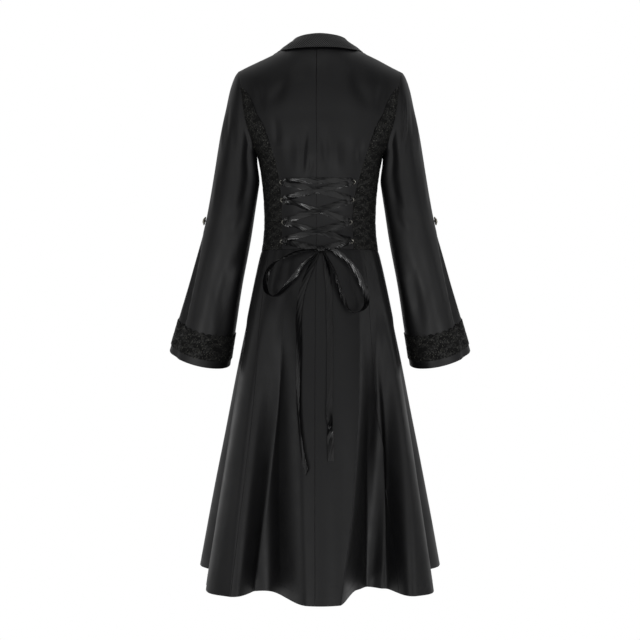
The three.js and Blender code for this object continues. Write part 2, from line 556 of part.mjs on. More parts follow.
// A ribbon along a route over the back: rows of x, z, lift and stand, and its width by place and by share.
// grow thickens it all round, for the room that it takes in the knot.
function ribbon(route, width, count, grow = 0) {
  const places = route.map((row) => {
    const { point, normal } = onBack(row.x, row.z);
    return point.addScaledVector(normal, row.lift);
  });
  const line = new THREE.CatmullRomCurve3(places, false, "centripetal");
  const outer = [];
  const inner = [];
  for (const t of steps(count)) {
    const p = line.getPoint(t);
    const tangent = line.getTangent(t);
    const share = t * (route.length - 1);
    const i = Math.min(route.length - 2, Math.floor(share));
    const stand = rad(mix(route[i].stand, route[i + 1].stand, share - i));
    const { normal } = onBack(p.x, p.z);
    const flat = normal.clone().cross(tangent).normalize();
    const out = tangent.clone().cross(flat).normalize();
    const across = flat.clone().multiplyScalar(Math.cos(stand)).addScaledVector(out, Math.sin(stand));
    const face = tangent.clone().cross(across).normalize().multiplyScalar(RIBBON / 2 + grow);
    const half = across.multiplyScalar(width(p, t) / 2 + grow);
    if (t === 0) p.addScaledVector(tangent, -grow);
    if (t === 1) p.addScaledVector(tangent, grow);
    outer.push([p.clone().sub(half).add(face), p.clone().add(half).add(face)]);
    inner.push([p.clone().sub(half).sub(face), p.clone().add(half).sub(face)]);
  }
  return closed(outer, inner);
}

// Each stretch of ribbon, and the room that it needs where it enters the knot
const roomInKnot = [];
function tie(name, route, width, count) {
  add(name, ribbon(route, width, count), MATERIAL.ribbon);
  roomInKnot.push(ribbon(route, width, count, SEAM));
}

// A stretch of lacing from one ring to another, or to the knot. It comes out of the ring gathered, goes over
// the wire, and lies at its own height off the cloth, so that the stretches cross without touching.
function lace(name, from, to) {
  const span = Math.hypot(to.x - from.x, to.z - from.z);
  const place = (d, lift) => ({
    x: mix(from.x, to.x, d / span), z: mix(from.z, to.z, d / span), lift, stand: 0,
  });
  const flat = [0.12, 0.25, 0.38, 0.5, 0.62, 0.75, 0.88].map((share) => place(
    share * span,
    mix(from.lift, to.lift, share),
  ));
  const climbDown = [...CLIMB].reverse().map(({ out, lift }) => place(span - out, lift));
  const route = [
    ...CLIMB.map(({ out, lift }) => place(out, lift)),
    ...flat,
    ...(to.ring ? climbDown : [place(span, to.lift)]),
  ];
  const width = (p) => {
    const off = Math.hypot(p.x - from.x, p.z - from.z);
    const left = to.ring ? Math.hypot(p.x - to.x, p.z - to.z) : span;
    return mix(LACE.gathered, LACE.width, ease(Math.min(off, left), LACE.near, LACE.far));
  };
  tie(name, route, width, 24);
}
const ringX = (row, side) => (side > 0 ? row.left : -row.right);
const hole = (row, side, up, lift) => ({
  x: ringX(RING_ROWS[row], side), z: RING_ROWS[row].z + up * LACE.apart, lift, ring: true,
});
lace("lace_top", hole(0, 1, 1, LACE.high), hole(0, -1, 1, LACE.low));
for (let row = 0; row < 3; row += 1) {
  lace(`lace_${row + 1}_down_right`, hole(row, 1, -1, LACE.low), hole(row + 1, -1, 1, LACE.low));
  lace(`lace_${row + 1}_down_left`, hole(row, -1, -1, LACE.high), hole(row + 1, 1, 1, LACE.high));
}
const atKnot = (side, lift) => ({ x: KNOT.x + side * (KNOT.wide - 3), z: KNOT.z + 2, lift });
lace("lace_end_left", hole(3, 1, -1, LACE.low), atKnot(1, 5));
lace("lace_end_right", hole(3, -1, -1, LACE.high), atKnot(-1, 5));

const swelling = (least) => (p, t) => RIBBON_WIDTH * mix(least, 1, Math.min(1, Math.sin(Math.PI * t) * 3));
const trailing = (p, t) => RIBBON_WIDTH * mix(0.25, 1, Math.min(1, t * 8));
tie("bow_left", BOW_LEFT, swelling(0.3), 34);
tie("bow_right", BOW_RIGHT, swelling(0.3), 38);
tie("tail_left", TAIL_LEFT, trailing, 24);
tie("tail_right", TAIL_RIGHT, trailing, 26);

// Turns a geometry's own +Z to a direction and puts it at a point
function placed(geometry, point, normal) {
  const turn = new THREE.Quaternion().setFromUnitVectors(vec(0, 0, 1), normal.clone().normalize());
  return geometry.applyQuaternion(turn).translate(point.x, point.y, point.z);
}

// The knot, with the ribbon's ends let into it
const wasm = await Module();
wasm.setup();
function solid(geometry) {
  const bare = geometry.clone();
  bare.deleteAttribute("normal");
  bare.deleteAttribute("uv");
  const merged = mergeVertices(bare, 1e-3);
  return new wasm.Manifold(new wasm.Mesh({
    numProp: 3,
    vertProperties: merged.attributes.position.array,
    triVerts: new Uint32Array(merged.index.array),
  }));
}
function knotShape() {
  const ball = new THREE.SphereGeometry(1, 12, 8).scale(KNOT.wide, KNOT.tall, KNOT.deep);
  const { point, normal } = onBack(KNOT.x, KNOT.z);
  const whole = solid(placed(ball, point.addScaledVector(normal, KNOT.lift), normal));
  const made = roomInKnot.reduce((left, room) => left.subtract(solid(room)), whole).getMesh();
  const geometry = new THREE.BufferGeometry();
  geometry.setAttribute("position", new THREE.BufferAttribute(made.vertProperties, 3));
  geometry.setIndex(new THREE.BufferAttribute(made.triVerts, 1));
  return geometry;
}
add("bow_knot", knotShape(), MATERIAL.ribbon);

RING_ROWS.forEach((row, i) => {
  for (const [word, side] of [["left", 1], ["right", -1]]) {
    const ring = new THREE.TorusGeometry(RING.radius, RING.wire, 6, 10);
    const { point, normal } = onBack(ringX(row, side), row.z);
    const lift = RING.wire + REST;
    add(`ring_${i + 1}_${word}`, placed(ring, point.addScaledVector(normal, lift), normal), MATERIAL.metal);
  }
});

// A domed button with a rim, standing on its shank
function buttonShape() {
  const { radius, shank, stand, rim, dome } = BUTTON;
  const profile = [
    [0, 0], [shank, 0], [shank, stand], [radius - 0.8, stand], [radius, stand + 0.9], [radius - 0.6, rim],
    [radius * 0.78, rim + 0.6], [radius * 0.68, dome * 0.7], [radius * 0.4, dome * 0.94], [0, dome],
  ];
  const turned = new THREE.LatheGeometry(profile.map(([x, y]) => new THREE.Vector2(x, y)), 12);
  return turned.rotateX(Math.PI / 2);
}
for (const [word, side] of [["left", 1], ["right", -1]]) {
  const at = sleeveRing(90, ELBOW);
  const out = rad(read(SLEEVE, "out", ELBOW));
  const normal = vec(side * Math.cos(out), 0, Math.sin(out));
  const point = vec(side * at.x, at.y, at.z).addScaledVector(normal, REST);
  add(`sleeve_button_${word}`, placed(buttonShape(), point, normal), MATERIAL.metal);
}
FRONT_BUTTONS.forEach((z, i) => {
  const { point, normal } = frameAt(180, z);
  point.addScaledVector(normal, CLOTH + 3 * REST);
  add(`front_button_${i + 1}`, placed(buttonShape(), point, normal), MATERIAL.metal);
});

// Only the merged positions count in the solids.
for (const mesh of coat.children) {
  mesh.geometry.deleteAttribute("normal");
  mesh.geometry.deleteAttribute("uv");
  mesh.geometry = mergeVertices(mesh.geometry, 1e-3);
  mesh.geometry.computeVertexNormals();
}

export default coat;
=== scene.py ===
# %% [markdown]
# # A long laced tailcoat
# The coat hangs in the air as if someone wore it, so every piece of cloth is a thin curved wall.
# The solids already give the coat's form. This lesson makes the cloth itself: each panel is drawn
# again from the same measurements, much finer, with creases, seams and woven finishes.
# Measurements are in millimetres, as a tailor writes them, and become metres when a mesh is made.

# %% The frame, and the tools
import json
import math

import bpy
import numpy as np
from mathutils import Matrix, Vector

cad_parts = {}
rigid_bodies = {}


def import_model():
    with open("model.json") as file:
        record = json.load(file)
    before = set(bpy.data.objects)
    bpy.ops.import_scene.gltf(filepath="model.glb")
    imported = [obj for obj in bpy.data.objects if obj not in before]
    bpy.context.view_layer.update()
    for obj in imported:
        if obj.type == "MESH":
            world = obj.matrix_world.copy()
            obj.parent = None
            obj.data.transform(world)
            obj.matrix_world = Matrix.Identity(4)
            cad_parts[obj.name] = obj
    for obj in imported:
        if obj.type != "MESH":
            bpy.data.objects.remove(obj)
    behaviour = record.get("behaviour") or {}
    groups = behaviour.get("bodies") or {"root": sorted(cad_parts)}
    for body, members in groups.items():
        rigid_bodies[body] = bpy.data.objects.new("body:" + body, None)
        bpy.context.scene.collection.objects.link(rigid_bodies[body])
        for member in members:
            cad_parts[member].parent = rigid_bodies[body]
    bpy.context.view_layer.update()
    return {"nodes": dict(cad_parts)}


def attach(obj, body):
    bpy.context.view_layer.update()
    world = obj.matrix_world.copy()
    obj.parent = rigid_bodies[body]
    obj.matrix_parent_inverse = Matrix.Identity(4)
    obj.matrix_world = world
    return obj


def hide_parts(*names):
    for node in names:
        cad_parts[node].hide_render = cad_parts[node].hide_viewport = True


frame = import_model()
MM = 0.001
scene = bpy.context.scene
print(len(frame["nodes"]), "solids in the frame")

# %% [markdown]
# The photograph looks at the middle of the back from about two and a half metres away, with a lens
# of ordinary length. The camera is made first, because everything else is judged through it.

# %% Camera
CAMERA = {"distance": 2.5, "height": -0.6045, "lens": 61.9, "sensor": 36}
camera_data = bpy.data.cameras.new("camera")
camera_data.lens = CAMERA["lens"]
camera_data.sensor_width = CAMERA["sensor"]
camera = bpy.data.objects.new("camera", camera_data)
camera.location = (0, CAMERA["distance"], CAMERA["height"])
camera.rotation_euler = (math.pi / 2, 0, math.pi)
scene.collection.objects.link(camera)
scene.camera = camera
print("camera at", tuple(round(x, 3) for x in camera.location))

# %% [markdown]
# The coat's measurements are short tables with a row for each height. A curve through the rows
# gives the size at any height. The curve never swings past a row, so a waist stays a waist.

# %% Reading a table
def table(columns, rows):
    data = np.array(rows, float)
    data = data[np.argsort(data[:, 0])]
    return {name: data[:, i] for i, name in enumerate(columns.split())}


def read(rows, column, at):
    x, y = rows["at"], rows[column]
    slopes = np.diff(y) / np.diff(x)
    a, b = slopes[:-1], slopes[1:]
    same_way = a * b > 0
    inside = np.where(same_way, 2 * a * b / np.where(same_way, a + b, 1), 0)
    tangent = np.concatenate([slopes[:1], inside, slopes[-1:]])
    at = np.clip(at, x[0], x[-1])
    i = np.clip(np.searchsorted(x, at, side="right") - 1, 0, len(x) - 2)
    h = x[i + 1] - x[i]
    t = (at - x[i]) / h
    return (
        (2 * t**3 - 3 * t**2 + 1) * y[i]
        + (t**3 - 2 * t**2 + t) * h * tangent[i]
        + (3 * t**2 - 2 * t**3) * y[i + 1]
        + (t**3 - t**2) * h * tangent[i + 1]
    )


def mix(a, b, t):
    return a + (b - a) * t


def ease(x, low, high):
    t = np.clip((x - low) / (high - low), 0, 1)
    return t * t * (3 - 2 * t)


def power(x, p):
    return np.sign(x) * np.abs(x) ** p


def bump(s):
    """1 in the middle of a fold and 0 past its width."""
    return np.cos(np.pi / 2 * np.clip(s, -1, 1)) ** 2


def points(x, y, z):
    return np.stack(np.broadcast_arrays(x, y, z), axis=-1).astype(float)


def unit(v):
    return v / np.maximum(np.linalg.norm(v, axis=-1, keepdims=True), 1e-12)


# %% [markdown]
# A tailor cuts the body of a coat round the wearer in rings: the waist, the chest and the shoulders.
# Here an angle round the wearer and a height give each point. Angle 0 is the centre of the back and
# the wearer's left is positive. Below the waist the rings widen into the skirt and take its folds.

# %% The body's measurements
HEM, WAIST, BAND_TOP, ARMPIT, BLADE = -1195, -449, -386, -236, -150
BREAK, LAPEL_TOP = -246, -58
SHOULDER_LINE = -5
NECK = {"half": 75, "back": 65, "rise": 30}
SHOULDER = {"at_neck": 11.5, "slope": 0.49}
OVER_SHOULDER, ROUND, OVERLAP, OPEN_FRONT = 0.91, 2.2, 10, 9
BODICE = table("at half back front", [
    (WAIST, 132, 103, 94), (-420, 128, 99, 91), (BAND_TOP, 126, 97, 90), (-340, 127.5, 99, 98),
    (-290, 132, 104, 114), (-255, 137.5, 108, 124), (ARMPIT, 142, 109, 125), (-221, 152, 109, 124),
    (-177, 178, 109, 117), (BLADE, 190, 108, 110), (-60, 210, 106, 104), (0, 222, 104, 100),
])
WAIST_RING = {column: float(read(BODICE, column, WAIST)) for column in ("half", "back", "front")}
HEM_RING = {"half": 272, "back": 305, "front": 225, "mid": -80, "spread": 0.88}
# Folds of the skirt: angles at the waist and the hem, widths towards and away from the centre back,
# depth at the hem, the direction it is pushed in, and where down the skirt it starts.
SKIRT_FOLDS = [
    (4, 0, 14, 14, 8, 0, 0.2),
    (32, 24, 20, 19, -95, 6, 0.1),
    (-42, -16, 8.5, 14, -118, 0, 0.16),
    (-52, -28, 13, 17, -104, -4, 0.14),
    (55, 53, 15, 15, 20, 58, 0.1),
    (-62, -53, 14, 16, 22, -56, 0.1),
    (86, 85, 18, 18, -48, 88, 0.2),
    (-88, -84, 17, 19, -50, -88, 0.2),
    (112, 113, 22, 22, 36, 106, 0),
    (-112, -113, 22, 22, 36, -106, 0),
    (142, 147, 16, 16, -30, 152, 0.2),
    (-144, -150, 16, 16, -32, -154, 0.2),
]
SKIRT_BACK_SEAM = table("at left right", [
    (HEM, 42, 37.5), (-963, 42.5, 37.5), (-796, 43.5, 37), (-662, 47, 38), (-567, 51, 40), (WAIST, 56, 44),
])
SKIRT_FRONT_SEAM = 118
# The centre seam of the back hangs a little towards the wearer's left.
CENTRE_SEAM = table("at turn", [(HEM, 1.5), (WAIST, 2.7), (BLADE, 1.8), (0, 1.3)])
BACK_SEAM = table("at left right", [
    (WAIST, 85, 73), (BAND_TOP, 84, 72), (-340, 85, 76), (-298, 90, 85.5), (-260, 97, 96), (-227, 107, 107),
    (-204, 115.5, 115.5), (-184, 122.5, 122.5), (-168, 130, 130), (BLADE, 141, 141), (-130, 152, 152),
    (-112, 163.5, 163.5), (-98, 173.4, 173.4), (-90, 180, 180), (0, 190, 190),
])
ARMHOLE_BACK = table("at x", [
    (ARMPIT, 142), (-229, 144.5), (-221, 147), (-200, 153), (-177, 160), (BLADE, 167), (-120, 172.5),
    (-80, 178), (-40, 183), (0, 187),
])
ARMHOLE_FRONT = table("at x", [
    (ARMPIT, 142), (-229, 144), (-221, 145.5), (-200, 149), (-177, 153), (BLADE, 158), (-120, 164),
    (-80, 172), (-40, 181), (0, 187),
])
FRONT_EDGE = table("at x", [
    (WAIST, -OVERLAP), (-278, -OVERLAP), (-262, -6), (BREAK, 4), (-200, 22), (-150, 38), (-100, 51),
    (-50, 63), (0, NECK["half"]),
])
LAPEL_EDGE = table("at x", [
    (BREAK, 12), (-235, 34), (-200, 66), (-150, 97), (-100, 119), (LAPEL_TOP, 130),
])


# %% [markdown]
# The body of the coat could be a surface lofted through drawn rings. Here it is a function of an angle and a
# height instead, because every seam and edge is then an angle by height, and a panel is whatever lies
# between two of them. The same function carries the skirt's folds, so no panel has to be fitted later.

# %% The body's shape
def shoulder_top(x):
    out = np.abs(x) / NECK["half"]
    slope = SHOULDER["at_neck"] - SHOULDER["slope"] * (np.abs(x) - NECK["half"])
    return np.where(out >= 1, slope, SHOULDER["at_neck"] + NECK["rise"] * (1 - out**2))


def skirt(turn, height):
    down = (WAIST - height) / (WAIST - HEM)
    s, c = np.sin(np.radians(turn)), np.cos(np.radians(turn))
    half = mix(WAIST_RING["half"], HEM_RING["half"], np.maximum(0, down) ** HEM_RING["spread"])
    behind = mix(WAIST_RING["back"], HEM_RING["back"], down)
    before = mix(WAIST_RING["front"], HEM_RING["front"], down)
    x = half * power(s, 2 / ROUND)
    y = HEM_RING["mid"] * down + np.where(c >= 0, behind, before) * power(c, 2 / ROUND)
    for top, hem, near, far, deep, push, start in SKIRT_FOLDS:
        share = np.maximum(0, (down - start) / (1 - start))
        off = turn - mix(top, hem, down)
        inward = off * (1 if hem >= 0 else -1) < 0
        size = deep * share * bump(off / np.where(inward, near, far))
        x = x + size * math.sin(math.radians(push))
        y = y + size * math.cos(math.radians(push))
    return points(x, y, height)


def bodice(turn, height):
    s, c = np.sin(np.radians(turn)), np.cos(np.radians(turn))
    x = read(BODICE, "half", height) * power(s, 2 / ROUND)
    y = np.where(c >= 0, read(BODICE, "back", height), read(BODICE, "front", height)) * power(c, 2 / ROUND)
    under_neck = (c >= 0) & (np.abs(x) < NECK["half"])
    rim = NECK["back"] * np.sqrt(np.maximum(0, 1 - (x / NECK["half"]) ** 2))
    share = np.clip(rim / np.where(under_neck, y - SHOULDER_LINE, 1), 0, 1) ** (1 / OVER_SHOULDER)
    end = np.where(under_neck, np.arccos(share), np.pi / 2)
    angle = np.clip((height - BLADE) / -BLADE, 0, 1) * end
    over_y = SHOULDER_LINE + (y - SHOULDER_LINE) * np.maximum(0, np.cos(angle)) ** OVER_SHOULDER
    over_z = BLADE + (shoulder_top(x) - BLADE) * np.sin(angle) ** OVER_SHOULDER
    return points(x, np.where(height <= BLADE, y, over_y), np.where(height <= BLADE, height, over_z))


def body(turn, height):
    turn, height = np.broadcast_arrays(np.asarray(turn, float), np.asarray(height, float))
    low = height < WAIST
    return np.where(low[..., None], skirt(turn, np.minimum(height, WAIST)), bodice(turn, height))


def turn_at(x, height):
    half = np.where(height < WAIST, WAIST_RING["half"], read(BODICE, "half", height))
    return np.degrees(np.arcsin(np.minimum(1, np.abs(x) / half) ** (ROUND / 2))) * np.where(x < 0, -1, 1)


def back_armhole(h):
    return np.where(h <= ARMPIT, 90, turn_at(read(ARMHOLE_BACK, "x", h), h))


def front_armhole(h):
    return np.where(h <= ARMPIT, 90, 180 - turn_at(read(ARMHOLE_FRONT, "x", h), h))


def back_seam(word):
    return lambda h: np.minimum(turn_at(read(BACK_SEAM, word, h), h), back_armhole(h))


def front_edge(h):
    above = 180 - turn_at(read(FRONT_EDGE, "x", h), h)
    at_waist = 180 + turn_at(np.float64(OVERLAP), np.float64(WAIST))
    return np.where(h >= WAIST, above, mix(at_waist, 180 - OPEN_FRONT, (WAIST - h) / (WAIST - HEM)))


def lapel_edge(h):
    return 180 - turn_at(read(LAPEL_EDGE, "x", h), h)


def frame_at(turn, height, step=0.5):
    """A point of the body, and the direction away from the wearer there."""
    across = body(turn + step, height) - body(turn - step, height)
    up = body(turn, height + step) - body(turn, height - step)
    return body(turn, height), unit(np.cross(up, across))


def on_back(x, z):
    """The same, at a distance x from the centre of the back."""
    x, z = np.broadcast_arrays(np.asarray(x, float), np.asarray(z, float))
    low, high = np.full(x.shape, -80.0), np.full(x.shape, 80.0)
    for _ in range(30):
        middle = (low + high) / 2
        under = body(middle, z)[..., 0] < x
        low, high = np.where(under, middle, low), np.where(under, high, middle)
    return frame_at(low, z)


waist_depth = (WAIST_RING["back"] + WAIST_RING["front"]) / 2
print("waist", round(2 * math.pi * math.sqrt((WAIST_RING["half"]**2 + waist_depth**2) / 2)), "mm round")


# %% [markdown]
# Blender's meshes want metres, faces that point outwards and a texture map. A panel of cloth is a grid
# of points with a second grid a thread's width inside it, closed round the rim. The texture map
# is measured along the cloth itself, so a weave has the same size everywhere on the coat.

# %% Cloth walls
def arc(grid, axis):
    steps = np.linalg.norm(np.diff(grid, axis=axis), axis=-1)
    start = np.zeros_like(np.take(steps, [0], axis=axis))
    return np.concatenate([start, np.cumsum(steps, axis=axis)], axis=axis)


def grid_normals(grid):
    return unit(np.cross(np.gradient(grid, axis=1), np.gradient(grid, axis=0)))


def wall_faces(rows, columns):
    """Quads of an outer and an inner grid of points, and of the rim between them."""
    r, c = np.meshgrid(np.arange(rows - 1), np.arange(columns - 1), indexing="ij")
    first = r * columns + c
    outer = np.stack([first, first + 1, first + columns + 1, first + columns], axis=-1).reshape(-1, 4)
    inner = outer[:, ::-1] + rows * columns
    rim = np.concatenate([
        np.arange(columns), np.arange(1, rows) * columns + columns - 1,
        (rows - 1) * columns + np.arange(columns - 2, -1, -1), np.arange(rows - 2, 0, -1) * columns,
    ])
    ahead = np.roll(rim, -1)
    edge = np.stack([ahead, rim, rim + rows * columns, ahead + rows * columns], axis=-1)
    return np.concatenate([outer, inner, edge])


def volume_of(verts, faces):
    a, b, c, d = (verts[faces[:, i]] for i in range(4))
    return float((a * (np.cross(b, c) + np.cross(c, d))).sum())


SHARP = math.radians(50)  # an edge that folds by more than this is drawn sharp


def mesh_object(name, verts, faces, uv=None, values=None):
    """A piece from points in millimetres. values are numbers for each point, for the finish to read."""
    mesh = bpy.data.meshes.new(name)
    mesh.from_pydata((verts * MM).tolist(), [], faces.tolist())
    mesh.polygons.foreach_set("use_smooth", np.ones(len(mesh.polygons), bool))
    if uv is not None:
        corners = np.empty(len(mesh.loops), np.int32)
        mesh.loops.foreach_get("vertex_index", corners)
        layer = mesh.uv_layers.new(name="cloth")
        layer.data.foreach_set("uv", (uv[corners] * MM).astype(np.float32).ravel())
    for key, numbers in (values or {}).items():
        kept = mesh.attributes.new(key, "FLOAT", "POINT")
        kept.data.foreach_set("value", numbers.astype(np.float32).ravel())
    mesh.set_sharp_from_angle(angle=SHARP)
    piece = bpy.data.objects.new(name, mesh)
    scene.collection.objects.link(piece)
    return piece


def wall(name, outer, thick, away, values=None):
    """A cloth wall under a grid of outer points. away is 1 or -1, to turn the grid's normal outwards."""
    normals = grid_normals(outer) * away
    inner = outer - normals * thick
    verts = np.concatenate([outer.reshape(-1, 3), inner.reshape(-1, 3)])
    faces = wall_faces(*outer.shape[:2])
    if volume_of(verts, faces) < 0:
        faces = faces[:, ::-1]
    flat = np.stack([arc(outer, 1), arc(outer, 0)], axis=-1).reshape(-1, 2)
    doubled = {key: np.concatenate([v.ravel(), v.ravel()]) for key, v in (values or {}).items()}
    return mesh_object(name, verts, faces, np.concatenate([flat, flat]), doubled)


def cut_size(outer):
    """Width, length and area of the flat piece that the cloth was cut from, in metres."""
    a, b, c, d = outer[:-1, :-1], outer[:-1, 1:], outer[1:, 1:], outer[1:, :-1]
    area = sum(np.linalg.norm(np.cross(p, q), axis=-1) / 2 for p, q in ((b - a, c - a), (c - a, d - a)))
    wide, long = arc(outer, 1)[:, -1].max(), arc(outer, 0)[-1].max()
    return round(wide * MM, 4), round(long * MM, 4), round(float(area.sum()) * MM**2, 5)


# %% [markdown]
# Satin is never quite smooth. Each main crease is written as a row: where it starts and ends on
# the cloth, how far it bows to one side, how wide it is and how deep. A negative depth is a trough.

# %% Creases
def creases(a, z, rows):
    lift = np.zeros(np.broadcast(a, z).shape)
    for a1, z1, a2, z2, bow, wide, deep in rows:
        run_a, run_z = a2 - a1, z2 - z1
        long = math.hypot(run_a, run_z)
        t = ((a - a1) * run_a + (z - z1) * run_z) / long**2
        off = ((a - a1) * run_z - (z - z1) * run_a) / long - bow * 4 * t * (1 - t)
        lift += deep * np.exp(-((off / wide) ** 2)) * bump(2 * t - 1)
    return lift


def waves(a, z, size, deep):
    """Slow unevenness of hanging cloth, the same on every run."""
    a, z = a / size, z / size
    return deep * (
        np.sin(a + 1.3 * np.sin(z / 2.7)) * np.sin(z / 2.1 + 0.8 * np.sin(a / 1.9 + 2))
        + 0.5 * np.sin(a / 0.46 + z / 1.7 + 0.6) * np.sin(z / 1.3 - 1.1)
    )


def edge_fall(grid, sides, deep=0.35, reach=1.4):
    """How far cloth sinks where it is sewn down. sides names its edges: left, right, first, last."""
    across, along = arc(grid, 1), arc(grid, 0)
    away = {
        "left": across, "right": across[:, -1:] - across, "first": along, "last": along[-1:] - along,
    }
    fall = np.zeros(grid.shape[:2])
    for side in sides:
        fall = np.maximum(fall, deep * (1 - np.clip(away[side] / reach, 0, 1)) ** 2)
    return -fall


# How deep an allowance turns under, where its turn starts, and how far it leans over the gap at its seam
SEAM_TURN = {"deep": 3.0, "apart": 0.35, "closed": -0.03}
EDGES = (("left", 1, False), ("right", 1, True), ("first", 0, False), ("last", 0, True))


def turned_in(grid, away, sides):
    """The grid with seam allowances, which turn towards the wearer at its sewn sides."""
    for name, axis, at_end in EDGES:
        if name not in sides:
            continue
        way = -1 if at_end else 1
        grid, away = (np.swapaxes(rows, 0, axis)[::way] for rows in (grid, away))
        back = unit(grid[1] - grid[0])
        at = grid[0] + back * SEAM_TURN["apart"]
        under = grid[0] + back * SEAM_TURN["closed"] - away[0] * SEAM_TURN["deep"]
        grid = np.concatenate([under[None], at[None], grid[1:]])
        away = np.concatenate([away[:1], away])
        grid, away = (np.swapaxes(rows[::way], 0, axis) for rows in (grid, away))
    return grid


def shares(count, edge=0.006):
    """Steps from 0 to 1, with a few close ones at both edges where the cloth turns into its seams."""
    inner = np.linspace(0, 1, count + 1)[1:-1]
    close = np.array([0, 0.35, 0.8, 1.5]) * edge
    middle = inner[(inner > close[-1] * 1.2) & (inner < 1 - close[-1] * 1.2)]
    return np.concatenate([close, middle, 1 - close[::-1]])


# %% [markdown]
# Every material starts from what the real one is. One helper adds a node with its settings and links.
# Colours are written as on a colour chart and turned to linear light by one function.

# %% Helper for materials
def colour(hex_value, alpha=1.0):
    parts = [int(hex_value[i:i + 2], 16) / 255 for i in (1, 3, 5)]
    return tuple(c / 12.92 if c <= 0.04045 else ((c + 0.055) / 1.055) ** 2.4 for c in parts) + (alpha,)


def node(tree, kind, settings=None, inputs=None):
    """Adds a node. An input is a value, or a node or socket to link from."""
    made = tree.nodes.new(kind)
    for key, value in (settings or {}).items():
        setattr(made, key, value)
    for key, value in (inputs or {}).items():
        if isinstance(value, bpy.types.Node):
            value = value.outputs[0]
        if isinstance(value, bpy.types.NodeSocket):
            tree.links.new(value, made.inputs[key])
        else:
            made.inputs[key].default_value = value
    return made


def material(name, base, **sockets):
    made = bpy.data.materials.new(name)
    made.use_nodes = True
    shader = made.node_tree.nodes["Principled BSDF"]
    shader.inputs["Base Color"].default_value = colour(base)
    for key, value in sockets.items():
        shader.inputs[key.replace("_", " ")].default_value = value
    made.diffuse_color = colour(base)
    return made, made.node_tree, shader


# %% [markdown]
# A few more helpers say what comes up in every finish: the cloth's own map in millimetres, a texture, a
# number stretched from one range to another, a colour between two others, and a small relief.

# %% Parts of a finish
def millimetres(tree):
    where = node(tree, "ShaderNodeUVMap", {"uv_map": "cloth"})
    return node(tree, "ShaderNodeVectorMath", {"operation": "SCALE"}, {0: where, "Scale": 1000.0})


def around_piece(tree):
    return node(tree, "ShaderNodeTexCoord").outputs["Object"]


def texture(tree, kind, where, settings=None, **inputs):
    return node(tree, f"ShaderNodeTex{kind}", settings, {"Vector": where, **inputs})


def remap(tree, source, low, high, at_low, at_high):
    return node(tree, "ShaderNodeMapRange", {}, {0: source, 1: low, 2: high, 3: at_low, 4: at_high})


def tint(tree, share, start, end):
    start, end = (colour(c) if isinstance(c, str) else c for c in (start, end))
    made = node(tree, "ShaderNodeMix", {"data_type": "RGBA"}, {0: share, 6: start, 7: end})
    return made.outputs[2]


def finish_with(tree, shader, base=None, gloss=None, height=None, strength=0.0, distance=0.0):
    """Links what there is of a colour, a roughness and a relief to the shader."""
    if base is not None:
        tree.links.new(base, shader.inputs["Base Color"])
    if gloss is not None:
        tree.links.new(gloss.outputs[0], shader.inputs["Roughness"])
    if height is not None:
        relief = node(tree, "ShaderNodeBump", {}, {
            "Strength": strength, "Distance": distance, "Height": height,
        })
        tree.links.new(relief.outputs[0], shader.inputs["Normal"])


# %% [markdown]
# The coat is duchess satin: long floats of a bright black yarn over a fine ground. The floats lie side by
# side, so the cloth mirrors light softly and the folds read as pale bands. A slow change of
# roughness keeps the bands alive, and a fine wave gives the grain of the floats.

# %% Satin
def make_satin():
    made, tree, shader = material("duchess_satin", "#111113", Roughness=0.5, Specular_IOR_Level=0.55)
    where = millimetres(tree)
    slow = texture(tree, "Noise", where, Scale=0.02, Detail=2.0, Roughness=0.5)
    grain = texture(tree, "Wave", where, {"bands_direction": "X"}, Scale=0.16, Distortion=1.5, Detail=1.0)
    finish_with(
        tree, shader, tint(tree, slow, "#0f0f11", "#141416"), remap(tree, slow, 0.3, 0.7, 0.44, 0.54),
        grain.outputs[1], 0.06, 0.0002,
    )
    return made


satin = make_satin()


# %% [markdown]
# The side panels, waistband and cuffs are a jacquard brocade. Its scrolls are raised in the mesh itself,
# where the pattern is worked out from the cloth's own map and kept as a number for each point. The finish
# reads that number: raised yarn is brighter and smoother, and painted highlights, small pale flecks that
# stand in for glints of shiny thread, sit on it.
# reads that number: raised yarn is brighter and smoother, and flecks of light sit on it.

# %% Brocade
def make_brocade():
    made, tree, shader = material("jacquard_brocade", "#0a0a0a", Roughness=0.6, Specular_IOR_Level=0.35)
    where = millimetres(tree)
    motif = node(tree, "ShaderNodeAttribute", {"attribute_name": "motif"}).outputs["Fac"]
    fine = texture(tree, "Noise", where, Scale=0.55, Detail=3.0, Roughness=0.7)
    # Painted highlights: pale flecks put into the colour stand in for glints off shiny thread.
    glint_cells = texture(tree, "Voronoi", where, {"feature": "F1"}, Scale=0.34, Randomness=1.0)
    glint_spot = remap(tree, glint_cells.outputs["Distance"], 0.16, 0.3, 1.0, 0.0)
    chance = node(tree, "ShaderNodeSeparateColor", {}, {0: glint_cells.outputs["Color"]})
    often = node(tree, "ShaderNodeMath", {"operation": "GREATER_THAN"}, {0: chance.outputs[0], 1: 0.62})
    painted_glints = node(tree, "ShaderNodeMath", {"operation": "MULTIPLY"}, {0: glint_spot, 1: often})
    # 77776f is the colour of the painted glints.
    finish_with(
        tree, shader, tint(tree, painted_glints, tint(tree, motif, "#0a0a0a", "#262624"), colour("#77776f")),
        remap(tree, motif, 0.0, 1.0, 0.85, 0.42), fine, 0.5, 0.0005,
    )
    return made


brocade = make_brocade()
RAISED_YARN = 0.45  # how far the scrolls stand off the ground of the brocade
CURLS = [(-3, 7, 1, 8.5), (4, -8, -1, 8.0), (8.5, 4.5, 1, 5.0), (-8.5, -4, -1, 4.6)]
FLOWERS = [(0, 0, 3.2), (11, -11, 2.4), (-10, 13, 2.2)]


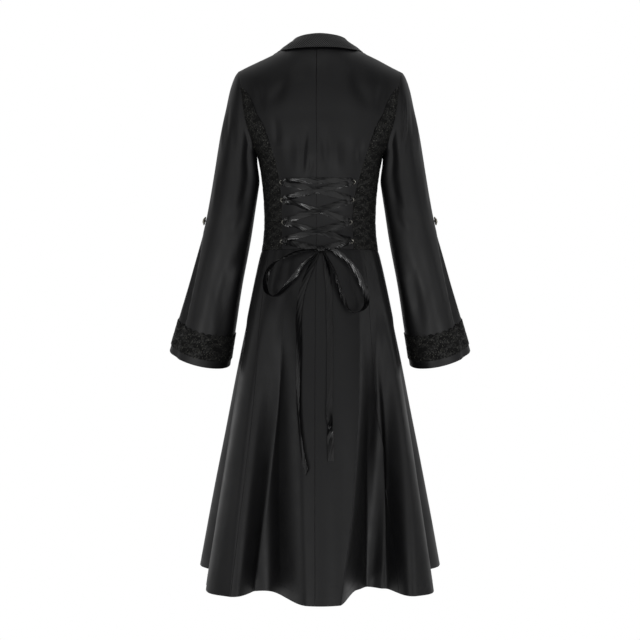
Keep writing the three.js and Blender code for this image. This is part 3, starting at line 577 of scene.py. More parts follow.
def scrolls(u, v, cell=24.0):
    """Raised yarn of the brocade: curling stems with leaves and small flowers, in a half-drop repeat."""
    column = np.floor(u / cell)
    x = u - (column + 0.5) * cell
    y = (v + np.where(column % 2 == 1, cell * 0.7, 0)) % (cell * 1.4) - cell * 0.7
    x = np.where(column % 2 == 1, -x, x)
    made = np.zeros_like(x)
    for cx, cy, turn, size in CURLS:
        r, a = np.hypot(x - cx, y - cy), np.arctan2(y - cy, (x - cx) * turn)
        arm = np.abs((r / size * 1.6 - a / (2 * np.pi)) % 1 - 0.5) * size / 1.6
        made = np.maximum(made, (1 - ease(arm, 0.5, 1.5)) * (1 - ease(r, size * 0.8, size)))
    for cx, cy, size in FLOWERS:
        r, a = np.hypot(x - cx, y - cy), np.arctan2(y - cy, x - cx)
        made = np.maximum(made, 1 - ease(r - size * (0.6 + 0.4 * np.abs(np.cos(2.5 * a))), -0.4, 0.6))
    return made


# %% [markdown]
# The collar and the lapels are a lighter cloth with fine upright stripes woven into it. The ribbon is
# polished satin, smoother than the coat's. Rings are bright nickel wire and the buttons antique pewter,
# dark where the relief is deep. Thread is the plainest finish of all.

# %% Striped satin, ribbon, metals and thread
STRIPE = 5.0  # millimetres from one stripe to the next


def make_striped():
    made, tree, shader = material("striped_satin", "#2a2a2b", Roughness=0.55, Specular_IOR_Level=0.3)
    across = node(tree, "ShaderNodeSeparateXYZ", {}, {0: millimetres(tree)})
    turn = node(tree, "ShaderNodeMath", {"operation": "MULTIPLY"}, {
        0: across.outputs[0], 1: 2 * math.pi / STRIPE,
    })
    stripe = node(tree, "ShaderNodeMath", {"operation": "SINE"}, {0: turn})
    share = remap(tree, stripe, -0.2, 0.6, 0.0, 1.0)
    finish_with(tree, shader, tint(tree, share, "#131314", "#5c5c5c"), None, share, 0.4, 0.0003)
    return made


def make_ribbon():
    made, tree, shader = material("polished_ribbon", "#070709", Roughness=0.24, Specular_IOR_Level=0.5)
    grain = texture(tree, "Wave", millimetres(tree), {"bands_direction": "Y"}, Scale=0.2, Distortion=1.0)
    finish_with(tree, shader, None, None, grain.outputs[1], 0.05, 0.0002)
    return made


def make_nickel():
    made, tree, shader = material("nickel_wire", "#b9b6ad", Metallic=1.0, Roughness=0.25)
    worn = texture(tree, "Noise", around_piece(tree), Scale=900.0, Detail=2.0)
    finish_with(tree, shader, None, remap(tree, worn, 0.3, 0.7, 0.18, 0.38))
    return made


def make_pewter():
    made, tree, shader = material("antique_pewter", "#8f8b7c", Metallic=1.0, Roughness=0.38)
    raised = node(tree, "ShaderNodeAttribute", {"attribute_name": "raised"}).outputs["Fac"]
    worn = texture(tree, "Noise", around_piece(tree), Scale=600.0, Detail=3.0)
    share = remap(tree, raised, 0.15, 0.75, 0.0, 1.0)
    finish_with(tree, shader, tint(tree, share, "#6a665c", "#ded9ca"), remap(tree, worn, 0.3, 0.7, 0.3, 0.5))
    return made


def make_thread():
    made, tree, shader = material("polyester_thread", "#121213", Roughness=0.5)
    twist = texture(tree, "Wave", around_piece(tree), Scale=900.0)
    finish_with(tree, shader, None, None, twist.outputs[1], 0.3, 0.0001)
    return made


striped, ribbon_satin = make_striped(), make_ribbon()
nickel, pewter, thread = make_nickel(), make_pewter(), make_thread()
print(len(bpy.data.materials), "materials")


# %% [markdown]
# Each piece is handed to the frame with its finish, and the solid that it stands for is hidden. The flat
# size that each cloth was cut to is kept too, measured along the mesh because nobody can unroll a folded
# skirt by eye.

# %% Finishing a piece
def dress(piece, finish, slot, *nodes):
    """Gives a piece its material and hides the solids that it stands for; its slot is not used."""
    piece.data.materials.clear()
    piece.data.materials.append(finish)
    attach(piece, "root")
    if nodes:
        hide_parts(*nodes)
    return piece


cut = {}


def sheet(piece, outer):
    wide, long, area = cut_size(outer)
    cut[piece.name] = (wide, long, area)


# %% [markdown]
# A ribbon follows a route over the back. Each row of a route says where the ribbon is, how far it stands off
# the cloth, and how far its width is turned out of the cloth's plane. A smooth line runs through the
# rows. Both tails hang free, and they are made first.

# %% A smooth line, and a ribbon along it
def through(knots, t):
    """A centripetal curve through points, at shares t of its length in rows."""
    knots = np.asarray(knots, float)
    line = np.concatenate([[2 * knots[0] - knots[1]], knots, [2 * knots[-1] - knots[-2]]])
    share = np.clip(np.atleast_1d(t), 0, 1) * (len(knots) - 1)
    i = np.minimum(share.astype(int), len(knots) - 2)
    w = (share - i).reshape((-1,) + (1,) * (knots.ndim - 1))
    p0, p1, p2, p3 = (line[i + k] for k in range(4))
    d0, d1, d2 = (np.sqrt(np.maximum(np.linalg.norm(b - a, axis=-1, keepdims=True), 1e-9))
                  for a, b in ((p0, p1), (p1, p2), (p2, p3)))
    m1 = ((p1 - p0) / d0 - (p2 - p0) / (d0 + d1) + (p2 - p1) / d1) * d1
    m2 = ((p2 - p1) / d1 - (p3 - p1) / (d1 + d2) + (p3 - p2) / d2) * d1
    return (
        (2 * w**3 - 3 * w**2 + 1) * p1 + (w**3 - 2 * w**2 + w) * m1
        + (3 * w**2 - 2 * w**3) * p2 + (w**3 - w**2) * m2
    )


RIBBON = {"width": 13, "thick": 0.5, "columns": 8}


def ribbon_line(route, t):
    """Middle of the ribbon, its direction, the cloth's plane across it, and straight out from the cloth."""
    route = np.array(route, float)
    at, normal = on_back(route[:, 0], route[:, 1])
    knots = at + normal * route[:, 2:3]
    line = through(knots, t)
    ahead = unit(through(knots, t + 1e-4) - through(knots, t - 1e-4))
    _, off = on_back(line[:, 0], line[:, 2])
    flat = unit(np.cross(off, ahead))
    return line, ahead, flat, unit(np.cross(ahead, flat))


def ribbon_grid(route, width, count, cup=0.0, ruffle=0.0, slant=(0, 0), extra=None):
    """Rows of points across a ribbon. cup bends its width, ruffle crumples it, slant cuts its two ends."""
    t = np.linspace(0, 1, count + 1)
    line, ahead, flat, out = ribbon_line(route, t)
    stand = np.radians(np.interp(t, np.linspace(0, 1, len(route)), [row[3] for row in route]))
    if extra is not None:
        stand = stand + np.radians(extra(t))
    across = flat * np.cos(stand)[:, None] + out * np.sin(stand)[:, None]
    face = np.cross(ahead, across)
    side = np.linspace(-1, 1, RIBBON["columns"] + 1)
    half = width(t)[:, None] / 2
    s, tt = np.meshgrid(side, t)
    crumple = ruffle * np.sin(s * 4.1 + tt * 31) * np.sin(tt * 67 + s * 2.3) * np.minimum(1, half / 6)
    rise = -cup * s**2 * half + crumple
    grid = line[:, None] + across[:, None] * (s * half)[..., None] + face[:, None] * rise[..., None]
    reach = slant[0] * np.maximum(0, 1 - tt * 14) - slant[1] * np.maximum(0, (tt - 1) * 14 + 1)
    return grid + ahead[:, None] * (reach * s)[..., None], line


# %% [markdown]
# The two ends of the ribbon hang below the bow. The left one bends slowly and ends on a slant, and the
# right one is straighter, with a kink above its square end. A simulation would let them fall anywhere, so
# they are laid by rows, as they hang in the photograph.

# %% The two tails
TAIL_LEFT = [
    (1.5, -456, 6, 10), (19, -490, 5, 12), (37, -538, 4, 0), (45, -596, 4, 0), (44, -660, 4, 10),
    (45, -758, 5, 25), (43, -812, 6, 35), (35, -889, 6, 40), (27, -926, 6, 40),
]
TAIL_RIGHT = [
    (-6, -456, 6, -10), (-14, -492, 5, -10), (-19, -540, 4, 0), (-20, -596, 4, 0), (-21, -650, 4, 10),
    (-20, -758, 5, 0), (-19, -806, 6, 0), (-20, -834, 9, 48), (-21, -858, 6, 10), (-22, -903, 4, 0),
]


def trailing(t):
    return RIBBON["width"] * mix(0.25, 1, np.minimum(1, t * 8))


for side, route, slant in (("left", TAIL_LEFT, 6), ("right", TAIL_RIGHT, 0)):
    grid, line = ribbon_grid(route, trailing, 110, cup=0.06, ruffle=0.25, slant=(0, slant))
    tail = wall(f"tail_{side}_ribbon", grid, RIBBON["thick"], 1)
    dress(tail, ribbon_satin, "ribbon", f"tail_{side}")
    long = float(arc(line, 0)[-1])
    print(f"tail {side}: {long:.0f} mm of ribbon")

# %% [markdown]
# The back is two satin panels sewn together down the middle. They were drawn in at the waist, so soft
# troughs rise out of the lacing, and the curved seams pull little dimples beside them. The side
# backs, the waistband and the hidden fronts are cut from the same rings.

# %% Panels of the coat's body
CLOTH = 1.6
OVER_FRONT = 2.8  # how far the right front stands off the left one


def over_lift(x):
    return OVER_FRONT * (1 - ease(np.abs(x), OVERLAP + 14, OVERLAP + 38))


def lap(side):
    """How far points of this side's front stand off, which is none for the left front."""
    return (lambda p: over_lift(np.minimum(0, p[..., 0]))) if side < 0 else (lambda p: 0 * p[..., 0])


# Creases of the back, in the plane that the photograph sees: from, to, bow, width and depth. They are
# drawn deeper than they are written, so that they still show on black.
BACK_DEEPER = 1.7
BACK_CREASES = [
    (33, -165, 42, -300, 3, 7, -2.2), (27, -200, 29, -305, 0, 5, 1.2), (18, -240, 20, -300, 0, 5, -1.3),
    (-8, -170, -18, -300, -2, 8, -2.4), (-30, -180, -38, -300, 0, 9, 1.1),
    (-58, -190, -52, -290, 2, 12, -1.4), (66, -180, 60, -295, -2, 12, -1.2),
    (104, -150, 96, -240, 4, 8, -1.6), (-95, -200, -88, -275, -4, 8, -1.8),
    (70, -60, 120, -140, 6, 14, -1.8), (-72, -50, -118, -150, -6, 15, -1.8),
    (20, -40, 60, -90, 4, 12, -1.0), (-16, -30, -52, -100, -4, 12, -1.1),
    (150, -60, 128, -160, 6, 10, -1.8), (-150, -60, -130, -165, -6, 10, -1.8),
    (62, -318, 12, -330, 2, 5, -1.2), (-62, -322, -10, -334, -2, 5, -1.2),
    (58, -356, 8, -372, -2, 6, -1.3), (-60, -360, -6, -366, 2, 6, -1.2), (60, -402, 14, -410, 2, 6, -1.2),
    (-60, -400, -12, -415, 2, 6, -1.3), (64, -428, 26, -440, 0, 5, -1.0),
    (-64, -430, -24, -441, 0, 5, -1.0),
]
# Creases of the fronts, which the photograph doesn't show, made like those of the back
FRONT_CREASES = [
    (20, -300, 70, -262, 6, 8, -1.8), (26, -345, 84, -300, 6, 9, -1.8), (24, -380, 92, -350, 4, 8, -1.4),
    (100, -180, 70, -250, -6, 12, -1.8), (130, -140, 104, -230, 6, 12, -1.8),
    (150, -90, 128, -170, 6, 10, -1.6), (-22, -310, -74, -268, -6, 8, -1.9),
    (-24, -350, -80, -312, -6, 9, -1.6), (-98, -170, -72, -246, 6, 12, -1.8),
    (-132, -130, -106, -225, -6, 12, -1.8), (-150, -95, -130, -165, -6, 10, -1.6),
    (-30, -405, -90, -375, -4, 8, -1.4),
]


def centre_seam(side):
    return lambda h: side * read(CENTRE_SEAM, "turn", h)


def row_heights(top, bottom, count):
    return np.linspace(bottom, top, count + 1)


def panel(
    node_name, side, heights, columns, start, stop, lift, finish, slot, seams,
    motif=None, thick=CLOTH,
):
    """A panel between two edges, each an angle by height. seams are the sides where it is sewn down."""
    h = heights[:, None]
    u = shares(columns)[None, :]
    face = body(side * mix(start(h), stop(h), u), h + 0 * u)
    away = grid_normals(face) * -side
    rise = lift(face) + edge_fall(face, seams)
    if motif is not None:
        rise = rise + RAISED_YARN * motif(arc(face, 1), arc(face, 0))
    outer = face + away * rise[..., None]
    made = turned_in(outer, away, seams)
    values = None if motif is None else {"motif": motif(arc(made, 1), arc(made, 0))}
    piece = wall(f"{node_name}_cloth", made, thick, -side, values=values)
    dress(piece, finish, slot, node_name)
    sheet(piece, outer)
    return outer


def back_lift(p):
    x, z = p[..., 0], p[..., 2]
    return BACK_DEEPER * creases(x, z, BACK_CREASES) + waves(x, z, 34, 0.7)


def front_lift(p):
    x, z = p[..., 0], p[..., 2]
    return creases(x, z, FRONT_CREASES) + waves(x, z, 34, 0.35)


def plain_lift(p):
    return waves(p[..., 0] + p[..., 1], p[..., 2], 30, 0.3)


SIDES = (("left", 1), ("right", -1))
SIDE_BACK_TOP = -98
outers = {}
for word, side in SIDES:
    on_front = lap(side)

    def lapped_lift(p):
        return front_lift(p) + on_front(p)

    def band_lift(p):
        return plain_lift(p) * ease(p[..., 1], -60, 0) + on_front(p)

    # part, top and bottom, rows and columns, the two edges, relief, cloth, and the sides that are sewn
    parts = [
        ("back", 0, WAIST, 130, 48, centre_seam(side), back_seam(word), back_lift, "satin",
         ("left", "right", "first")),
        ("side_back", SIDE_BACK_TOP, BAND_TOP, 160, 28, back_seam(word), back_armhole, plain_lift, "brocade",
         ("left", "right", "first")),
        ("front", 0, BAND_TOP, 110, 48, front_armhole, front_edge, lapped_lift, "satin",
         ("left", "first")),
        ("waistband", BAND_TOP, WAIST, 38, 190, back_seam(word), front_edge, band_lift, "brocade",
         ("left", "first", "last")),
    ]
    for part, top, bottom, rows, columns, start, stop, lift, slot, seams in parts:
        finish, motif = (satin, None) if slot == "satin" else (brocade, scrolls)
        outers[f"{part}_{word}"] = panel(
            f"{part}_{word}", side, row_heights(top, bottom, rows), columns, start, stop, lift,
            finish, slot, seams, motif,
        )
print(len(outers), "panels of the bodice")

# %% [markdown]
# The skirt hangs in deep folds. The solids hold the large ones. Between them the satin breaks into
# narrower ridges, and little puckers fall from the waist seam where the fullness starts. They are rows
# too: the angle at the waist and at the hem, the width in degrees, the depth, and where they start and end.

# %% Skirt
FINE_FOLDS = [
    (12, 10, 6, -1.6, 0.25, 1.1), (-14, -10, 4, -2.6, 0.35, 1.2), (-1, -1, 5, 1.4, 0.4, 1.2),
    (40, 38, 4.5, 2.0, 0.1, 1.2), (50, 47, 4.5, -2.0, 0.2, 1.2), (64, 61, 5, 2.0, 0.25, 1.2),
    (-47, -43, 4.5, 2.0, 0.2, 1.2), (-70, -66, 5, -2.4, 0.2, 1.2), (-60, -52, 4, 1.6, 0.3, 1.2),
    (96, 96, 5, 2.4, 0.1, 1.2), (-98, -97, 5, 2.6, 0.12, 1.2), (126, 130, 5, -3, 0.1, 1.2),
    (-127, -131, 5, -3, 0.1, 1.2), (160, 164, 5, 3, 0.2, 1.2), (-161, -165, 5, 3, 0.2, 1.2),
    (26, 27, 3.5, -1.2, -0.1, 0.22), (34, 36, 3.5, 1.0, -0.1, 0.26), (44, 46, 3, -1.3, -0.1, 0.2),
    (57, 60, 3.5, 1.0, -0.1, 0.24), (66, 70, 3, -1.2, -0.1, 0.26), (-28, -29, 3.5, -1.2, -0.1, 0.24),
    (-39, -41, 3.2, 1.1, -0.1, 0.22), (-49, -52, 3, -1.3, -0.1, 0.2), (-58, -61, 3.4, 1.2, -0.1, 0.28),
    (-67, -71, 3, -1.1, -0.1, 0.24), (90, 93, 4, -1.2, -0.1, 0.3), (-92, -95, 4, -1.2, -0.1, 0.3),
    (130, 133, 5, -1.2, -0.1, 0.3), (-132, -135, 5, -1.2, -0.1, 0.3),
]

# The bottoms of the valleys beside the centre fall are sharper than the solids'. Their rows are the angle
# at the waist and at the hem, how far the sharp part reaches, its depth, and where it starts and is full.
VALLEYS = [(26, 29.7, 3.4, -14, 0.15, 0.5), (-36, -22, 3.2, -11, 0.4, 0.7), (-46, -31, 3.2, -11, 0.2, 0.6)]


def skirt_panel(node_name, side, columns, start, stop, seams, on_front):
    turned_up = np.linspace(HEM, HEM + 6, 4)[:-1]
    heights = np.concatenate([turned_up, np.linspace(HEM + 6, WAIST, 124)])
    h = heights[:, None]
    turn = side * mix(start(h), stop(h), shares(columns, 0.004)[None, :])
    h = h + 0 * turn
    face = body(turn, h)
    away = grid_normals(face) * -side
    down = (WAIST - h) / (WAIST - HEM)
    rise = waves(turn * 4, h, 46, 0.5) + edge_fall(face, seams)
    for top, hem, wide, deep, first, last in FINE_FOLDS:
        middle = (first + last) / 2
        along = bump((down - middle) / (last - middle)) if last < 1 else ease(down, first, 1)
        rise = rise + deep * along * np.exp(-(((turn - mix(top, hem, down)) / wide) ** 2))
    for top, hem, reach, deep, first, full in VALLEYS:
        off = (turn - mix(top, hem, down)) / reach
        rise = rise + deep * ease(down, first, full) * np.exp(-np.sqrt(off**2 + 0.02))
    if on_front:
        rise = rise + over_lift(np.minimum(0, face[..., 0]))
    outer = face + away * rise[..., None]
    piece = wall(f"{node_name}_cloth", turned_in(outer, away, seams), CLOTH, -side)
    dress(piece, satin, "satin", node_name)
    sheet(piece, outer)
    return outer


for word, side in SIDES:
    def behind(h):
        return read(SKIRT_BACK_SEAM, word, h)

    def before(h):
        return SKIRT_FRONT_SEAM + 0 * h

    parts = [
        ("skirt_back", 92, centre_seam(side), behind, ("left", "right", "last"), False),
        ("skirt_side", 84, behind, before, ("left", "right", "last"), False),
        ("skirt_front", 54, before, front_edge, ("left", "last"), side < 0),
    ]
    for part, columns, start, stop, seams, on_front in parts:
        outers[f"{part}_{word}"] = skirt_panel(f"{part}_{word}", side, columns, start, stop, seams, on_front)
print("skirt back is cut", cut["skirt_back_left_cloth"])

# %% [markdown]
# A sleeve is a tube that starts as the armhole and ends as a wide bell. Its two halves meet under the arm
# and down the outside, where a button holds an inverted pleat at the elbow. The deep crease below
# the button runs to the cuff, and smaller ones gather at the elbow and under the shoulder.

# %% Sleeves
SLEEVE = table("at x y wide deep out forward", [
    (-288, 189.5, -2, 52.5, 50, 11, 3), (-340, 198, -4, 53, 49, 11.5, 5),
    (-400, 209, -11, 54.5, 48.5, 12.5, 9), (-500, 233.5, -31, 59, 51, 14, 14),
    (-600, 258, -54, 66, 56, 15, 16), (-691, 280.5, -77, 72.4, 61, 15.2, 18),
])
SLEEVE_TOP, SLEEVE_END, ELBOW = -288, -691, -391
CUFF = {"top": -618, "bottom": -675, "thick": 1.1, "rest": 0.5, "scallops": 13, "dip": 5.5}
PLEAT = {
    "top": 88, "hem": 46, "near": 13, "far": 20, "deep": 13, "opened": 0.25, "band": (0.6, 0.85),
    "pressed": 0.7,
}
CAP = {"top": (70, 0, -56), "bottom": (6, 0, -50), "swell": 16, "arrive": 0.85}
# Heights on the way up the armhole
LOOP = np.array([ARMPIT, -227, -211, -190, BLADE, -112, -86, -58, -28, 0], float)


def sleeve_ring(angle, height):
    get = lambda column: read(SLEEVE, column, height)
    out, forward = np.radians(get("out")), np.radians(get("forward"))
    down = unit(points(np.sin(out), -np.sin(forward), -np.cos(out) * np.cos(forward)))
    outward = points(np.cos(out), 0 * out, np.sin(out))
    backward = unit(np.cross(outward, down))
    below = np.clip((ELBOW - 20 - height) / (ELBOW - 20 - SLEEVE_END), 0, 1)
    off = angle - mix(PLEAT["top"], PLEAT["hem"], np.sqrt(below))
    opened = ease(below, 0, PLEAT["opened"]) * (1 - PLEAT["pressed"] * ease(below, *PLEAT["band"]))
    fold = PLEAT["deep"] * opened * bump(off / np.where(off < 0, PLEAT["near"], PLEAT["far"]))
    pleat = 1 - fold / get("wide")
    across = get("wide") * np.sin(np.radians(angle)) * pleat
    behind = get("deep") * np.cos(np.radians(angle)) * pleat
    return points(get("x"), get("y"), height) + outward * across[..., None] + backward * behind[..., None]


def armhole(around):
    turned = (around + 1) % 1
    share = np.where(turned <= 0.5, turned, 1 - turned) * 2
    height = np.interp(share, np.linspace(0, 1, len(LOOP)), LOOP)
    return body(np.where(turned <= 0.5, back_armhole(height), front_armhole(height)), height)


def sleeve(around, along):
    around, along = np.broadcast_arrays(np.asarray(around, float), np.asarray(along, float))
    angle = -90 + 360 * around
    low = sleeve_ring(angle, mix(SLEEVE_TOP, SLEEVE_END, np.clip(along - 1, -0.01, 1)))
    start, end = armhole(around), sleeve_ring(angle, SLEEVE_TOP + 0 * angle)
    high = ease(start[..., 2], ARMPIT, -60)[..., None]
    leave = mix(np.array(CAP["bottom"], float), np.array(CAP["top"], float), high)
    leave[..., 1] += CAP["swell"] * np.cos(np.radians(angle))
    arrive = unit(sleeve_ring(angle, SLEEVE_TOP - 1 + 0 * angle) - end)
    arrive = arrive * np.linalg.norm(end - start, axis=-1, keepdims=True) * CAP["arrive"]
    t = np.clip(along, 0, 1)[..., None]
    cap = (
        start * (2 * t**3 - 3 * t**2 + 1) + leave * (t**3 - 2 * t**2 + t)
        + end * (3 * t**2 - 2 * t**3) + arrive * (t**3 - t**2)
    )
    return np.where((along >= 1)[..., None], low, cap)


# Creases of the sleeve on its unrolled cloth: millimetres round from the back (outside positive) and height
SLEEVE_CREASES = [
    (-34, -70, -34, -470, 0, 17, -7.5), (-30, -400, -34, -760, 0, 20, -6),
    (52, -250, 44, -400, 0, 8, 1.5), (40, -370, 26, -650, 0, 9, 1.6), (84, -400, 58, -600, -4, 6, -2.6),
    (-30, -330, 10, -392, 4, 9, -1.2), (-40, -372, 0, -420, 4, 10, -1.3),
    (-46, -300, -6, -352, 4, 10, -1.1), (10, -300, 14, -470, 0, 14, -1.0),
    (-20, -440, -26, -640, 0, 16, -1.8), (4, -480, 2, -690, 0, 14, 1.2), (66, -120, 44, -240, -4, 6, 2.2),
    (20, -130, 8, -270, 4, 12, -1.6), (-30, -180, -14, -290, 4, 12, -1.8),
    (84, -80, 64, -190, -4, 9, -1.8), (46, -110, 30, -210, -3, 7, -1.8),
    (130, -250, 122, -420, 0, 12, 1.4), (150, -300, 118, -380, 4, 9, -1.4),
    (166, -350, 128, -420, 4, 9, -1.4), (140, -430, 150, -680, 0, 16, -2.0),
    (118, -440, 120, -690, 0, 12, 1.6), (176, -440, 186, -690, 0, 14, -1.6),
    (120, -150, 140, -260, 4, 12, -1.6), (170, -180, 158, -290, 4, 12, -1.8),
]
# The right sleeve alone has a sharp crease below the shoulder
RIGHT_SLEEVE_CREASES = [(34, -90, 0, -250, 3, 3.6, 2.6), (26, -95, -8, -250, 3, 6, -1.8)]
SLEEVE_ROUND = 56  # mean radius, which turns degrees into millimetres of cloth


def sleeve_rise(around, face, side):
    """How far the sleeve's creases stand off it."""
    across = np.radians(-90 + 360 * around) * SLEEVE_ROUND
    rows = SLEEVE_CREASES + (RIGHT_SLEEVE_CREASES if side < 0 else [])
    return creases(across, face[..., 2], rows) + waves(across, face[..., 2], 30, 0.35)


def sleeve_grid(first, last, along, columns, side):
    around = mix(first, last, shares(columns, 0.012))
    u, v = np.meshgrid(around, along)
    face = sleeve(u, v)
    rise = sleeve_rise(u, face, side) * ease(v, 0, 0.25)
    return face + grid_normals(face) * rise[..., None]


def handed(grid, side):
    return grid * np.array([side, 1, 1])


HALVES = (("back", 0, 0.5), ("front", 0.5, 1))
for word, side in SIDES:
    for half, first, last in HALVES:
        along = np.concatenate([np.linspace(0, 1, 60)[:-1], np.linspace(1, 2, 96)])
        outer = sleeve_grid(first, last, along, 52, side)
        away = grid_normals(outer)
        outer = outer + away * edge_fall(outer, ("left", "right", "first"))[..., None]
        made = handed(turned_in(outer, away, ("left", "right")), side)
        outer = handed(outer, side)
        name = f"sleeve_{half}_{word}"
        outers[name] = outer
        piece = wall(f"{name}_cloth", made, CLOTH, side)
        dress(piece, satin, "satin", name)
        sheet(piece, outer)
print("sleeve half is cut", cut["sleeve_back_left_cloth"])

# %% [markdown]
# The cuff is a band of the brocade laid on the sleeve, with a scalloped upper edge. The scallops are cut by
# shortening the band between its points, one every seventeen millimetres or so.

# %% Cuffs
def cuff_along(height):
    return 1 + (height - SLEEVE_TOP) / (SLEEVE_END - SLEEVE_TOP)


for word, side in SIDES:
    for half, first, last in HALVES:
        share = shares(116, 0.004)[None, :]
        around = mix(first, last, share)
        dip = CUFF["dip"] * (1 - np.abs(np.sin(np.pi * CUFF["scallops"] * share)) ** 0.7)
        height = mix(CUFF["top"] - dip, CUFF["bottom"], np.linspace(0, 1, 44)[:, None])
        base = sleeve(around + 0 * height, cuff_along(height))
        motif = scrolls(arc(base, 1), arc(base, 0))
        rise = sleeve_rise(around, base, side) + CUFF["thick"] + CUFF["rest"] + RAISED_YARN * motif
        outer = handed(base + grid_normals(base) * rise[..., None], side)
        name = f"cuff_{half}_{word}"
        outers[name] = outer
        piece = wall(f"{name}_cloth", outer, CUFF["thick"], side, values={"motif": motif})
        dress(piece, brocade, "brocade", name)
        sheet(piece, outer)
print("cuff half is cut", cut["cuff_back_left_cloth"])

# %% [markdown]
# The collar stands up round the neck, rolls over and falls. Its section is a line through seven points at
# every station, so the roll stays round. The lapels are laid on the fronts and follow their curve.

# %% Collar and lapels
COLLAR = [
    ("back", 0, (0, 58, 31), (0, 76, -3)), ("back", 38, (33, 50, 29.5), (39.5, 71, -3)),
    ("back", 62, (52, 32, 28), (74, 50, -2.5)), ("front", 0, (62, 3, 26.5), (90, 15, 3)),
    ("front", -12, (66, -16, 24), (99, -19, 5.5)), ("front", -27, (67, -36, 17.5), (107, -38, 6)),
    ("front", -43, (66, -52, 9), (112, -54, 3)),
]
COLLAR_ROLL = {"inside": 2.2, "inside_drop": 3.6, "outside": 4.7, "outside_drop": 4, "belly": 2}
COLLAR_CLOTH = 1.4


def both_sides(line):
    line = np.array(line, float)
    return np.concatenate([line[:0:-1] * np.array([-1, 1, 1]), line])


def collar_foot(kind, at):
    if kind == "front":
        p = body(front_edge(np.float64(at)), at)
    else:
        p = body(turn_at(np.float64(at), np.float64(0)), 0)
    return p + np.array([0, 0, 1.0])


collar_lines = [
    both_sides([collar_foot(kind, at) for kind, at, _, _ in COLLAR]),
    both_sides([roll for _, _, roll, _ in COLLAR]),
    both_sides([edge for _, _, _, edge in COLLAR]),
]


def collar_face(around, over):
    foot, roll, edge = (through(line, around) for line in collar_lines)
    out = unit((edge - foot) * np.array([1, 1, 0]))
    up = np.array([0, 0, 1.0])
    inside = roll - out * COLLAR_ROLL["inside"] - up * COLLAR_ROLL["inside_drop"]
    outside = roll + out * COLLAR_ROLL["outside"] - up * COLLAR_ROLL["outside_drop"]
    middle = (outside + edge) / 2 + out * COLLAR_ROLL["belly"] + up
    return through(np.stack([foot, (foot + inside) / 2, inside, roll, outside, middle, edge]), over)


around = np.linspace(0, 1, 181)
over = np.concatenate([[0, 0.01], np.linspace(0.03, 0.97, 44), [0.99, 1]])
face = collar_face(around, over)
lift = waves(arc(face, 1), arc(face, 0), 16, 0.25) + edge_fall(face, ("last",), 0.5, 2)
outer = face - grid_normals(face) * lift[..., None]
outers["collar"] = outer
piece = wall("collar_cloth", outer, COLLAR_CLOTH, -1)
dress(piece, striped, "striped_satin", "collar")
sheet(piece, outer)

LAPEL_LIFT = 2.8
for word, side in SIDES:
    on_front = lap(side)

    def lapel_lift(p):
        return LAPEL_LIFT + on_front(p) + creases(p[..., 0], p[..., 2], FRONT_CREASES)

    outers[f"lapel_{word}"] = panel(
        f"lapel_{word}", side, row_heights(LAPEL_TOP, BREAK, 80), 26, lapel_edge, front_edge, lapel_lift,
        striped, "striped_satin", (), thick=COLLAR_CLOTH,
    )
print("collar is cut", cut["collar_cloth"])

# %% [markdown]
# The lacing runs from ring to ring: a bar across the top, three crossings and two ends to the knot. At a ring
# the ribbon is squeezed to a cord, and then it spreads and turns a little on its way. Those turns
# catch the light, so each stretch has its own twist, written as angles along its length.

# %% Lacing
RING_ROWS = [(-302, 84, 73), (-341, 82, 70), (-390, 79.5, 66), (-432, 83, 69)]  # height, left, right
RING = {"radius": 4.2, "wire": 0.8, "off_cloth": 0.5}
# How wide the ribbon is, and how narrow in a ring; how far from a ring it starts to spread and is spread;
# how far apart two stretches leave one ring; and the two heights at which stretches pass each other.
LACE = {"width": 12.5, "gathered": 2.2, "near": 8, "far": 24, "apart": 1.45, "low": 1.6, "high": 3.4}
# Out of a ring: how far along, and how far off the cloth.
CLIMB = [(0.6, 1.4), (1.5, 2.5), (2.6, 3.4), (4.2, 3.9), (7, 3.9), (10.5, 3.3)]
KNOT = {"x": -2, "z": -452, "lift": 9, "wide": 9.5, "tall": 7.5, "deep": 6.5}


LACE_STEPS = (0.12, 0.25, 0.38, 0.5, 0.62, 0.75, 0.88)


def lace_route(start, end):
    (x1, z1, lift1), (x2, z2, lift2, ringed) = start, end
    span = math.hypot(x2 - x1, z2 - z1)

    def place(d, lift):
        return (mix(x1, x2, d / span), mix(z1, z2, d / span), lift, 0)

    route = [place(out, lift) for out, lift in CLIMB]
    route += [place(share * span, mix(lift1, lift2, share)) for share in LACE_STEPS]
    if ringed:
        return route + [place(span - out, lift) for out, lift in reversed(CLIMB)], span
    return route + [place(span, lift2)], span


def lace(name, start, end, twist):
    """twist is how far the ribbon turns out of the cloth's plane, in degrees, at even steps along it."""
    route, span = lace_route(start, end)
    ringed = end[3]

    def width(t):
        off = t * span
        near = np.minimum(off, span - off if ringed else span)
        return mix(LACE["gathered"], LACE["width"], ease(near, LACE["near"], LACE["far"]))

    def turn(t):
        return np.interp(t, np.linspace(0, 1, len(twist)), twist)

    grid, _ = ribbon_grid(route, width, 90, cup=0.1, ruffle=0.35, extra=turn)
    piece = wall(f"{name}_ribbon", grid, RIBBON["thick"], 1)
    dress(piece, ribbon_satin, "ribbon", name)
    sheet(piece, grid)


def ring_place(row, side):
    z, left, right = RING_ROWS[row]
    return (left if side > 0 else -right), z


def hole(row, side, up, lift):
    x, z = ring_place(row, side)
    return (x, z + up * LACE["apart"], lift)


